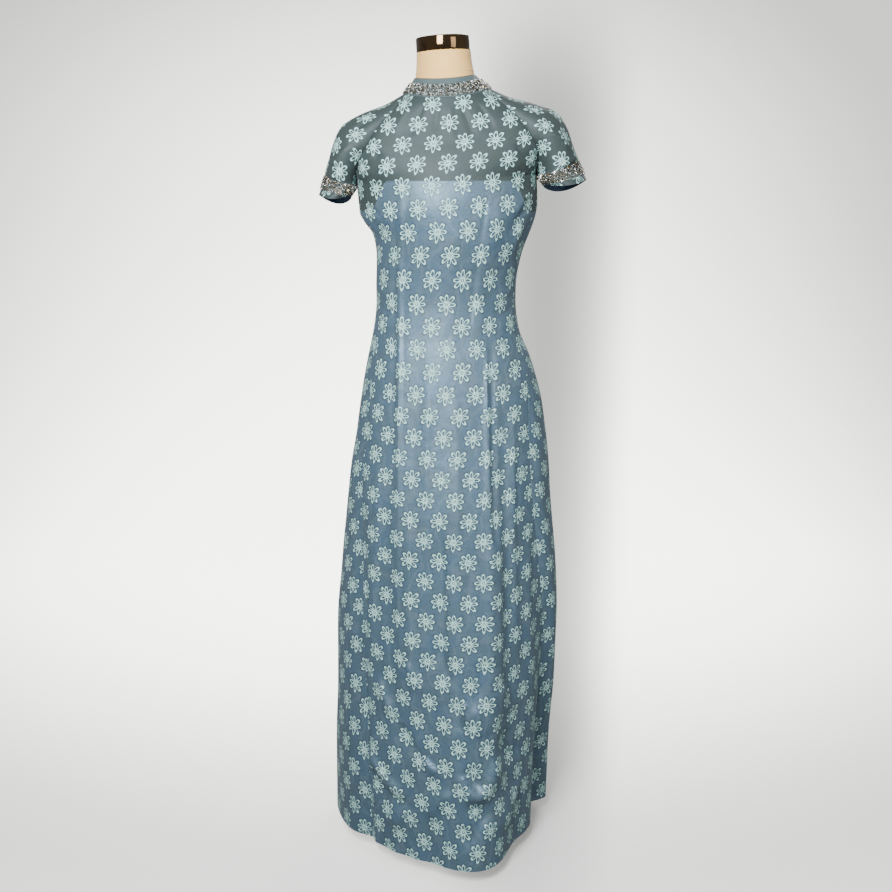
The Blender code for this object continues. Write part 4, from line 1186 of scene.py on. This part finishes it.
BEAD_FINISHES = [
    glass_bead("silver_beads", linear("D6D5CE"), linear("77756F"), 0.90, 0.10),
    glass_bead("gold_beads", linear("B89A5C"), linear("64502C"), 0.90, 0.12),
    glass_bead("clear_beads", linear("F4F8F6"), linear("B9C6C8"), 0.15, 0.05, 1.0),
    glass_bead("pink_beads", linear("B98F84"), linear("7C5D57"), 0.60, 0.14),
    glass_bead("dark_beads", linear("48443E"), linear("22201D"), 0.80, 0.14),
]
KIND_COLUMNS = ("shape", "length", "width", "spread", "share")
BEAD_KINDS = (
    ("bugle", 0.0036, 0.0009, 0.30, 0.40),
    ("bugle", 0.0024, 0.0008, 0.20, 0.18),
    ("bead", 0.0014, 0.0014, 0.25, 0.27),
    ("stone", 0.0021, 0.0021, 0.20, 0.15),
)
FINISH_SHARES = {"collar": (0.38, 0.15, 0.26, 0.01, 0.20), "sleeve": (0.33, 0.28, 0.19, 0.01, 0.19)}
SPREAD_UP, SPREAD_ACROSS = 0.55, 0.6
ROOM_UP, ROOM_ACROSS = 0.02, 0.3
BEAD_TILT, BEAD_PILE = 0.28, 0.0006
TAPE_LIFT, TAPE_THICK = 0.0006, 0.00048


def on_grid(grid, normals, row, column):
    """Points, normals and directions at fractional rows and columns of a grid."""
    r = np.clip(row.astype(int), 0, grid.shape[0] - 2)
    c = np.clip(column.astype(int), 0, grid.shape[1] - 2)
    s, t = (row - r)[:, None], (column - c)[:, None]
    point = ((grid[r, c] * (1 - t) + grid[r, c + 1] * t) * (1 - s)
             + (grid[r + 1, c] * (1 - t) + grid[r + 1, c + 1] * t) * s)
    return point, unit(normals[r, c]), unit(grid[r, c + 1] - grid[r, c])


def bead_band(name, grid, side, counts, shares, part, seed):
    """Lays a tape on a band of the grid and sews beads all over it."""
    normals = normals_of(grid, side)
    lines, columns = counts
    random = np.random.default_rng(seed)
    rows, wide = grid.shape[0] - 1, grid.shape[1] - 1
    row, column = np.meshgrid(np.arange(lines) + 0.5, np.arange(columns) + 0.5, indexing="ij")
    row = (row + random.uniform(-SPREAD_UP, SPREAD_UP, row.shape)).ravel() / lines * rows
    column = column + random.uniform(-SPREAD_ACROSS, SPREAD_ACROSS, column.shape)
    column = column.ravel() / columns * wide
    row = np.clip(row, ROOM_UP * rows, (1 - ROOM_UP) * rows)
    column = np.clip(column, ROOM_ACROSS, wide - ROOM_ACROSS)
    kinds = random.choice(len(BEAD_KINDS), len(row), p=[kind[-1] for kind in BEAD_KINDS])
    points, faces, slots, start = [], [], [], 0
    for number, sizes in enumerate(BEAD_KINDS):
        kind = named(KIND_COLUMNS, sizes)
        mine = kinds == number
        count = int(mine.sum())
        shape_points, shape_faces = SHAPES[kind.shape]
        spot, out, right = on_grid(grid, normals, row[mine], column[mine])
        up = np.cross(out, right)
        turn = random.uniform(0, math.tau, count)[:, None]
        first = right * np.cos(turn) + up * np.sin(turn)
        tilt = random.uniform(-BEAD_TILT, BEAD_TILT, count)[:, None]
        first = unit(first + out * tilt)
        second = unit(np.cross(out, first))
        third = np.cross(first, second)
        size = 1 + random.uniform(-kind.spread, kind.spread, count)
        size = size[:, None] * np.array([kind.length, kind.width, kind.width])
        pile = random.uniform(0, BEAD_PILE, count)[:, None]
        spot = spot + out * (TAPE_LIFT + size[:, 2:] / 2 + pile)
        axes = np.stack([first, second, third], -1)
        local = shape_points[None] * size[:, None]
        points.append((spot[:, None] + np.einsum("nij,nkj->nki", axes, local)).reshape(-1, 3))
        step = len(shape_points)
        first_points = start + np.arange(count) * step
        faces.append((shape_faces[None] + first_points[:, None, None]).reshape(-1, 4))
        slots.append(np.repeat(random.choice(len(shares), count, p=shares), len(shape_faces)))
        start += count * step
    piece = new_object(name, mesh_of(name, np.concatenate(points), np.concatenate(faces),
                                     slots=np.concatenate(slots), smooth=False))
    finish_with(piece, *BEAD_FINISHES)
    tape_uv = np.stack([run_length(grid, 1), run_length(grid, 0)], -1)
    tape = shell(name + "_tape", grid + normals * TAPE_LIFT, normals, side, tape_uv, TAPE_THICK)
    finish_with(tape, bead_tape, bead_tape)
    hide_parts(part)
    print(name, len(row), "beads,", len(piece.data.polygons) * 2, "triangles")


print("bead finishes:", [finish.name for finish in BEAD_FINISHES])

# %% Bead bands
BAND_LINES = 13
COLLAR_BEADS, SLEEVE_BEADS = (10, 200), (8, 120)
COLLAR_SEED, SLEEVE_SEED = 11, 20
SEAM_COLUMNS = 3
shape = collar_grid(np.linspace(TRIM_FROM, TRIM_TO, BAND_LINES), TRIM_OPENING, COLLAR_ROUND)
bead_band("collar_beads", shape, 1, COLLAR_BEADS, FINISH_SHARES["collar"],
          "collar_bead_band", COLLAR_SEED)
for name, side in SIDES.items():
    rows = np.linspace(BAND_FROM, BAND_TO, BAND_LINES)
    shape = sleeve_grid(rows, side, SLEEVE_ROUND)[:, SEAM_COLUMNS:-SEAM_COLUMNS]
    bead_band("sleeve_%s_beads" % name, shape, -side, SLEEVE_BEADS, FINISH_SHARES["sleeve"],
              "sleeve_bead_band_" + name, SLEEVE_SEED + side)

# %% [markdown]
# ## The zip
# The zip closes the centre back from the hip to the collar's top. Its teeth are small moulded
# blocks, set alternately left and right on a woven tape. The slider and its pull tab are pressed
# metal: a channel with two lugs, a pin between them, and a tab whose end is rolled round the pin.
# The tab is the one hard piece that moves by itself, so it rides on its own body.

# %% Zip tape and teeth
SLIDER_HALF, SLIDER_LONG = 0.0028, 0.0060
SLIDER_FLOOR, SLIDER_TALL = 0.0016, 0.0042
LUG_WIDE, SLIDER_LIFT = 0.0011, 0.0005
PULL_THICK, PULL_AXIS = 0.0010, 0.0031
PULL_NECK_HALF, PULL_HALF = 0.0013, 0.0022
PULL_NECK, PULL_LONG = 0.0038, 0.0190
PULL_BARREL, PIN = 0.00080, 0.00038
PIN_ROOM, PIN_SHORT = 0.0001, 0.0002
SLIDER_BEVEL, PIN_BEVEL, ROLLED_BEVEL, TAB_BEVEL = 0.0003, 0.00008, 0.00006, 0.00018
TAPE_STRIP_THICK, TAPE_PITCH = 0.0008, 0.0006
TOOTH_PITCH = 0.00115
TOOTH = (0.0013, 0.00075, 0.0009)
TOOTH_TOP = (0.8, 0.6)
TOOTH_ASIDE, TOOTH_OUT = 0.00055, 0.0004
TEETH_MARGIN = 0.002


def collar_edge(steps, half):
    """The two edges of an opening of that half width, up the collar's back."""
    first = np.arcsin(half / collar_at(steps).half_width)
    return [stand(collar_ring(steps, side * (math.pi - first))) for side in (-1, 1)]


zip_heights = heights[heights >= ZIP_FOOT]
half_zip = np.full(len(zip_heights) + len(yoke_rows), ZIP_HALF)
edges = [back_grid(zip_heights, yoke_rows, side, half_zip, 1)[:, 0] for side in (-1, 1)]
upper_edges = collar_edge(np.linspace(0, 1, 13)[1:], ZIP_HALF)
left, right = [np.concatenate(pair) for pair in zip(edges, upper_edges)]
share = np.linspace(0, 1, 5)[None, :, None]
strip = left[:, None] * (1 - share) + right[:, None] * share
strip_normals = normals_of(strip, 1)
strip_side = 1 if strip_normals[0, 2, 1] > 0 else -1
strip_normals = strip_normals * strip_side
flat = np.stack([run_length(strip, 1), run_length(strip, 0)], -1)
tape = shell("zip_tape_strip", strip, strip_normals, strip_side, flat, TAPE_STRIP_THICK)
zip_cloth = plain_cloth("zip_tape_cloth", linear("52697A"), linear("435866"), 0.7, TAPE_PITCH)
finish_with(tape, zip_cloth, zip_cloth)
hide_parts("zip")


def pressed_metal(name, colour, second, rough):
    """Plated metal with fine rubbed scratches and slightly duller patches."""
    shader = Shader(name)
    spot = shader.place()
    rubbed = shader.noise(spot, 300.0, 4.0)
    scratches = shader.streaks(spot, (200.0, 200.0, 4000.0))
    return shader.surface({
        "Base Color": shader.mix(rubbed.step(0.35, 0.7), colour, second),
        "Metallic": 1.0,
        "Roughness": rough + rubbed * 0.12 + scratches * 0.06,
        "Normal": shader.bump(scratches * 0.00001),
    })


zip_metal = pressed_metal("zip_metal", linear("9EA3A6"), linear("787C7F"), 0.22)


def teeth(name, line, normals):
    """Two rows of blocks along a line, each a little to its own side of it."""
    along = run_length(line[:, None], 0)[:, 0]
    count = int((along[-1] - 2 * TEETH_MARGIN) / TOOTH_PITCH)
    at = TEETH_MARGIN + np.arange(count) * TOOTH_PITCH
    spot = np.stack([np.interp(at, along, line[:, i]) for i in range(3)], -1)
    up = unit(np.gradient(spot, axis=0))
    out = unit(np.stack([np.interp(at, along, normals[:, i]) for i in range(3)], -1))
    right = unit(np.cross(up, out))
    side = np.where(np.arange(count) % 2, 1.0, -1.0)[:, None]
    spot = spot + right * side * TOOTH_ASIDE + out * TOOTH_OUT
    corner = np.array([(x, y, z) for z in (0, 1) for y in (-0.5, 0.5) for x in (-0.5, 0.5)])
    corner[4:, :2] *= TOOTH_TOP
    axes = np.stack([right, up, out], -1)
    points = (spot[:, None] + np.einsum("nij,kj->nki", axes, corner * TOOTH)).reshape(-1, 3)
    box = np.array([(0, 2, 3, 1), (4, 5, 7, 6), (0, 1, 5, 4),
                    (2, 6, 7, 3), (0, 4, 6, 2), (1, 3, 7, 5)])
    faces = (box[None] + (np.arange(count) * 8)[:, None, None]).reshape(-1, 4)
    piece = new_object(name, mesh_of(name, points, faces, smooth=False))
    finish_with(piece, zip_metal)
    print(name, count, "teeth")


teeth("zip_teeth", strip[:-2, 2], strip_normals[:-2, 2])

# %% Slider, pin and pull tab
SLIDER_STEP = 0.86
low, middle, high = [sum(collar_edge(np.array([step]), ZIP_HALF))[0] / 2
                     for step in (TRIM_TO, SLIDER_STEP, 1.0)]
left_edge, right_edge = [edge[0] for edge in collar_edge(np.array([SLIDER_STEP]), ZIP_HALF)]
pull_right = unit(right_edge - left_edge)
pull_up = unit(high - low - pull_right * ((high - low) @ pull_right))
pull_out = np.cross(pull_up, pull_right)
slider_centre = middle + pull_out * SLIDER_LIFT
METAL_SHARP = math.radians(40)


def at_slider(across, outward, along):
    return slider_centre + pull_right * across + pull_out * outward + pull_up * along


def bevelled(name, points, faces, width, body):
    """A closed mesh with rounded edges."""
    mesh = bpy.data.meshes.new(name)
    mesh.from_pydata([tuple(p) for p in points], [], faces)
    piece = new_object(name, mesh, body)
    soft = bmesh.new()
    soft.from_mesh(mesh)
    bmesh.ops.recalc_face_normals(soft, faces=soft.faces)
    bmesh.ops.bevel(soft, geom=list(soft.edges), offset=width, segments=2, profile=0.5, affect="EDGES",
                    clamp_overlap=True)
    soft.to_mesh(mesh)
    soft.free()
    mesh.shade_smooth()
    mesh.set_sharp_from_angle(angle=METAL_SHARP)
    finish_with(piece, zip_metal)
    return piece


def pressed(name, outline, start, end, place, width, body=DRESS):
    """An outline pushed through from start to end."""
    count = len(outline)
    points = [place(a, b, start) for a, b in outline] + [place(a, b, end) for a, b in outline]
    faces = [tuple(range(count)), tuple(range(2 * count - 1, count - 1, -1))]
    faces += [(i, i + count, (i + 1) % count + count, (i + 1) % count) for i in range(count)]
    return bevelled(name, points, faces, width, body)


inner = SLIDER_HALF - LUG_WIDE
channel = [(-SLIDER_HALF, 0), (SLIDER_HALF, 0), (SLIDER_HALF, SLIDER_TALL), (inner, SLIDER_TALL),
           (inner, SLIDER_FLOOR), (-inner, SLIDER_FLOOR), (-inner, SLIDER_TALL),
           (-SLIDER_HALF, SLIDER_TALL)]
slider = pressed("zip_slider_channel", channel, -SLIDER_LONG / 2, SLIDER_LONG / 2, at_slider,
                 SLIDER_BEVEL)
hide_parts("zip_slider")


def circle(radius, count):
    return [(radius * math.cos(i * math.tau / count), radius * math.sin(i * math.tau / count))
            for i in range(count)]


def at_pin(along, outward, across):
    return at_slider(across, PULL_AXIS + outward, along)


pin_end = SLIDER_HALF - PIN_SHORT
pressed("zip_pin", circle(PIN, 16), -pin_end, pin_end, at_pin, PIN_BEVEL)


def rolled_end(name):
    """The barrel at the tab's end, with a hole for the pin."""
    count, hole = 20, PIN + PIN_ROOM
    rings = ((PULL_BARREL, -PULL_NECK_HALF), (PULL_BARREL, PULL_NECK_HALF),
             (hole, PULL_NECK_HALF), (hole, -PULL_NECK_HALF))
    points = [at_pin(a, b, x) for r, x in rings for a, b in circle(r, count)]
    faces = []
    for r in range(4):
        for c in range(count):
            d, s = (c + 1) % count, (r + 1) % 4
            faces.append((r * count + c, r * count + d, s * count + d, s * count + c))
    bevelled(name, points, faces, ROLLED_BEVEL, PULL)


def rounded_tab():
    """The tab's outline: a narrow neck, shoulders, and a round lower end."""
    low_middle = -PULL_LONG + PULL_HALF
    right_side = [(PULL_NECK_HALF, -0.0006), (PULL_NECK_HALF, -PULL_NECK + 0.0008),
                  (PULL_HALF - 0.0002, -PULL_NECK - 0.0002), (PULL_HALF, -PULL_NECK - 0.0010)]
    round_end = [(PULL_HALF * math.cos(a), low_middle - PULL_HALF * math.sin(a))
                 for a in np.linspace(0, math.pi, 17)]
    left_side = [(-x, y) for x, y in right_side[::-1]]
    return right_side + round_end + left_side


def at_tab(across, along, outward):
    return at_slider(across, PULL_AXIS + outward, along)


rolled_end("pull_rolled_end")
tab = pressed("pull_tab_plate", rounded_tab(), -PULL_THICK / 2, PULL_THICK / 2, at_tab,
              TAB_BEVEL, PULL)
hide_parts("zip_pull")
print("pull axis through", [round(v, 5) for v in at_pin(0, 0, 0)])

# %% [markdown]
# ## The dress form
# The form is a padded shell that is covered with fine cream jersey, pulled smooth. Only its neck
# shows, with a dark polished metal cap. The torso, the pole and the flat round base are finished
# plainly, since the dress hides them.

# %% Form
FORM_SIDES = 128
FORM_COARSE, FORM_FINE = (1.4800, 110), (1.4808, 56)
JERSEY_RIPPLES = ((1.5215, 0.0005), (1.5165, 0.0003), (1.4895, 0.0006))
RIPPLE_HALF, NECK_RADIUS = 0.0014, 0.05
TURNED_SHARP = 35


def fine_jersey():
    shader = Shader("cream_jersey")
    spot = shader.place()
    clouds = shader.noise(spot, 12.0, 3.0).step(0.35, 0.7)
    ribs = (shader.axis(spot, "Z") * (math.tau / 0.0016)).sine() * 0.5
    stitches = shader.streaks(spot, (1300.0, 1300.0, 700.0))
    share = clouds * 0.6 + (stitches - 0.5) * 0.5
    return shader.surface({
        "Base Color": shader.mix(share, linear("FFCF7E"), linear("F2B964")),
        "Roughness": 0.72 + stitches * 0.16,
        "Normal": shader.bump(stitches * 0.00018 + ribs * 0.00003),
        "Sheen Weight": 0.25,
        "Sheen Roughness": 0.5,
    })


form_rows = np.concatenate([np.linspace(FORM[0][0], *FORM_COARSE),
                            np.linspace(FORM_FINE[0], FORM[-1][0], FORM_FINE[1])])
form_turn = np.arange(FORM_SIDES)[None, :] * math.tau / FORM_SIDES
level = form_rows[:, None] + 0 * form_turn
form = form_at(level)
lean = body_at(level).shift * (1 - ease(level, UNDERARM, SHOULDER))
depth = np.where(np.sin(form_turn) < 0, form.front, form.back)
form_rings = np.stack([lean + form.half_width * np.cos(form_turn), depth * np.sin(form_turn), level],
                      axis=-1)
# the jersey rolls a little under the cap, where it is drawn in, and where the collar holds it
for ripple, swell in JERSEY_RIPPLES:
    grow = 1 + swell / NECK_RADIUS * np.exp(-((form_rows - ripple) / RIPPLE_HALF) ** 2)
    form_rings[..., :2] *= grow[:, None, None]
form_rings[..., 0] += NECK_SHIFT * ease(form_rows, NECK_FROM, NECK_TO)[:, None]
torso = stacked("form_shell", stand(form_rings), TURNED_SHARP)
finish_with(torso, fine_jersey())
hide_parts("form_torso")
print("form", len(torso.data.polygons), "faces")

# %% Cap, pole and base
CAP_RADIUS, CAP_FOOT, CAP_TOP = 0.0490, 1.5253, 1.5510
BASE_RADIUS, BASE_THICK, BASE_ROUND = 0.140, 0.012, 0.006


def polished_metal(name, colour, second, rough, grain):
    """Turned and lacquered metal: fine rings from the lathe and faint handling marks."""
    shader = Shader(name)
    spot = shader.place()
    marks = shader.noise(spot, 45.0, 4.0, 0.6)
    turned = shader.streaks(spot, (6.0, 6.0, 2600.0))
    return shader.surface({
        "Base Color": shader.mix(marks.step(0.4, 0.75), colour, second),
        "Metallic": 1.0,
        "Roughness": rough + marks * rough + turned * grain,
        "Normal": shader.bump(turned * 0.00001),
        "Coat Weight": 0.4,
        "Coat Roughness": 0.06,
    })


def lathe(profile, sides=96):
    """A profile of (radius, height) turned round the vertical line through the origin."""
    profile = np.array(profile)
    turn = np.arange(sides) * math.tau / sides
    return np.stack([profile[:, :1] * np.cos(turn), profile[:, :1] * np.sin(turn),
                     profile[:, 1:] + 0 * turn], axis=-1)


cap_profile = [(CAP_RADIUS - 0.0016, CAP_FOOT), (CAP_RADIUS - 0.0005, CAP_FOOT + 0.0004),
               (CAP_RADIUS, CAP_FOOT + 0.0016), (CAP_RADIUS, CAP_TOP - 0.0022),
               (CAP_RADIUS - 0.0004, CAP_TOP - 0.0010), (CAP_RADIUS - 0.0014, CAP_TOP - 0.0003),
               (CAP_RADIUS - 0.0030, CAP_TOP), (CAP_RADIUS - 0.0060, CAP_TOP - 0.0001)]
cap_rings = lathe(cap_profile)
cap_rings[..., 0] += NECK_SHIFT
cap = stacked("form_cap_turned", stand(cap_rings), TURNED_SHARP)
finish_with(cap, polished_metal("dark_metal", linear("765C3C"), linear("523E24"), 0.03, 0.02))
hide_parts("form_cap")

stand_metal = polished_metal("stand_metal", linear("8C8F92"), linear("74777A"), 0.26, 0.10)
base_profile = [(BASE_RADIUS - 0.0010, 0.0), (BASE_RADIUS, 0.0010), (BASE_RADIUS, 0.0055)]
base_profile += [(BASE_RADIUS - BASE_ROUND + BASE_ROUND * math.cos(a),
                  BASE_THICK - BASE_ROUND + BASE_ROUND * math.sin(a))
                 for a in np.linspace(0.1, math.pi / 2, 8)]
base_profile += [(0.030, BASE_THICK), (0.020, BASE_THICK)]
base = stacked("form_base_turned", lathe(base_profile, 128), TURNED_SHARP)
finish_with(base, stand_metal)
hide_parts("form_base")
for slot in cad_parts["form_pole"].material_slots:
    slot.material = stand_metal
print("cap", len(cap.data.polygons), "faces, base", len(base.data.polygons), "faces")

# %% [markdown]
# ## Stage, lights and finish
# The photograph was taken against seamless white paper with a large soft light before and to the
# left. The floor here runs up into a pale round wall, so that every view has the same ground. The
# paper glows by itself in a painted pool of light, which is brightest behind the dress and fades
# with distance, and the soft shadow on it to the dress's right is painted in. The lights
# are hidden from the camera. The key is a broad one, above the lens and a little to its left: it
# keeps the satin's face bright while its grazing sides go dark.

# %% Stage
GLOW_MIDDLE, GLOW_REACH, GLOW_FULL = (-0.1, 2.2, 0.8), 2.6, 1.2
GLOW_STRENGTH = 5.2
SHADE_DEPTH = 0.09
SHADE_X, SHADE_HALF, SHADE_LEAST, SHADE_SPREAD = 0.17, 0.20, 0.1, 0.08
SHADE_TOP, SHADE_FRONT = (2.3, 1.4), (-0.7, 0.3)


def seamless_paper():
    shader = Shader("seamless_paper")
    spot = shader.place()
    fibre = shader.noise(spot, 60.0, 4.0)
    # painted pool of light: the paper's glow is brightest near a point behind the dress and fades with
    # distance
    away = shader.node("ShaderNodeVectorMath", {"operation": "DISTANCE"},
                       {0: spot, 1: GLOW_MIDDLE}, output="Value")
    glow = away.step(GLOW_REACH, GLOW_FULL)
    # a painted soft shadow on the paper to the dress's right, where the dress would cast one
    x, y, z = [shader.axis(spot, letter) for letter in "XYZ"]
    beside = abs(x - SHADE_X - y * SHADE_SPREAD) / (y * SHADE_SPREAD + SHADE_HALF).most(SHADE_LEAST)
    shade = beside.step(1.0, 0.0) * z.step(*SHADE_TOP) * y.step(*SHADE_FRONT)
    light = SHADE_DEPTH ** shade
    glowing = shader.mix(glow, linear("656563"), linear("FDFDF6"))
    return shader.surface({
        "Base Color": shader.mix(fibre.step(0.35, 0.65) * 0.2, linear("F4F5F0"), linear("EDEFEA")),
        "Emission Color": shader.mix(light, (0, 0, 0, 1), glowing),
        "Emission Strength": GLOW_STRENGTH,
        "Roughness": 0.9 + fibre * 0.05,
        "Normal": shader.bump(fibre * 0.0002),
    })


FLOOR_RADIUS, WALL_ROUND, WALL_TOP = 2.6, 1.3, 4.6
curve = [(FLOOR_RADIUS + WALL_ROUND * math.sin(a), WALL_ROUND * (1 - math.cos(a)))
         for a in np.linspace(0, math.pi / 2, 24)]
bowl_profile = [(0.02, 0.0), (1.0, 0.0), *curve, (FLOOR_RADIUS + WALL_ROUND, WALL_TOP)]
rings = lathe(bowl_profile, 128)
faces, index = ring_faces(*rings.shape[:2])
faces.append(index[0].tolist())
mesh = bpy.data.meshes.new("paper_bowl")
mesh.from_pydata(rings.reshape(-1, 3).tolist(), [], faces)
mesh.shade_smooth()
bowl = bpy.data.objects.new("paper_bowl", mesh)
bpy.context.scene.collection.objects.link(bowl)
finish_with(bowl, seamless_paper())
# the paper is lit by itself, so that its brightness doesn't wash out the satin
bowl.visible_diffuse = False
bowl.visible_glossy = False
bowl.visible_shadow = False
bowl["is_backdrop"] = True
print("stage radius", FLOOR_RADIUS + WALL_ROUND, "m")

# %% Lights
ROOM_COLOUR, ROOM_STRENGTH = (0.93, 0.95, 0.96, 1), 0.27


def soft_light(name, place, towards, size, power, colour=(1.0, 1.0, 1.0)):
    data = bpy.data.lights.new(name, "AREA")
    data.shape = "RECTANGLE"
    data.size, data.size_y = size
    data.energy = power
    data.color = colour
    light = bpy.data.objects.new(name, data)
    light.location = place
    light.rotation_euler = (Vector(towards) - Vector(place)).to_track_quat("-Z", "Y").to_euler()
    light.visible_camera = False
    bpy.context.scene.collection.objects.link(light)


soft_light("key", (-0.42, -1.7, 1.95), (0, 0, 1.3), (0.70, 1.1), 84, (0.97, 0.985, 1.0))
soft_light("fill", (1.9, -2.0, 1.7), (0, 0, 1.1), (1.0, 1.5), 19, (1.0, 0.97, 0.92))
soft_light("back", (0.8, 2.4, 2.2), (0, 0, 1.0), (1.2, 1.4), 24)
world = bpy.data.worlds.new("pale_room")
world.use_nodes = True
room = world.node_tree.nodes["Background"]
room.inputs["Color"].default_value = ROOM_COLOUR
room.inputs["Strength"].default_value = ROOM_STRENGTH
bpy.context.scene.world = world

# %% Finish
low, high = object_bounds()
{"cad": [list(cad_low), list(cad_high)], "visual": [list(low), list(high)]}
print("visual box:", [round(v, 3) for v in (*low, *high)])
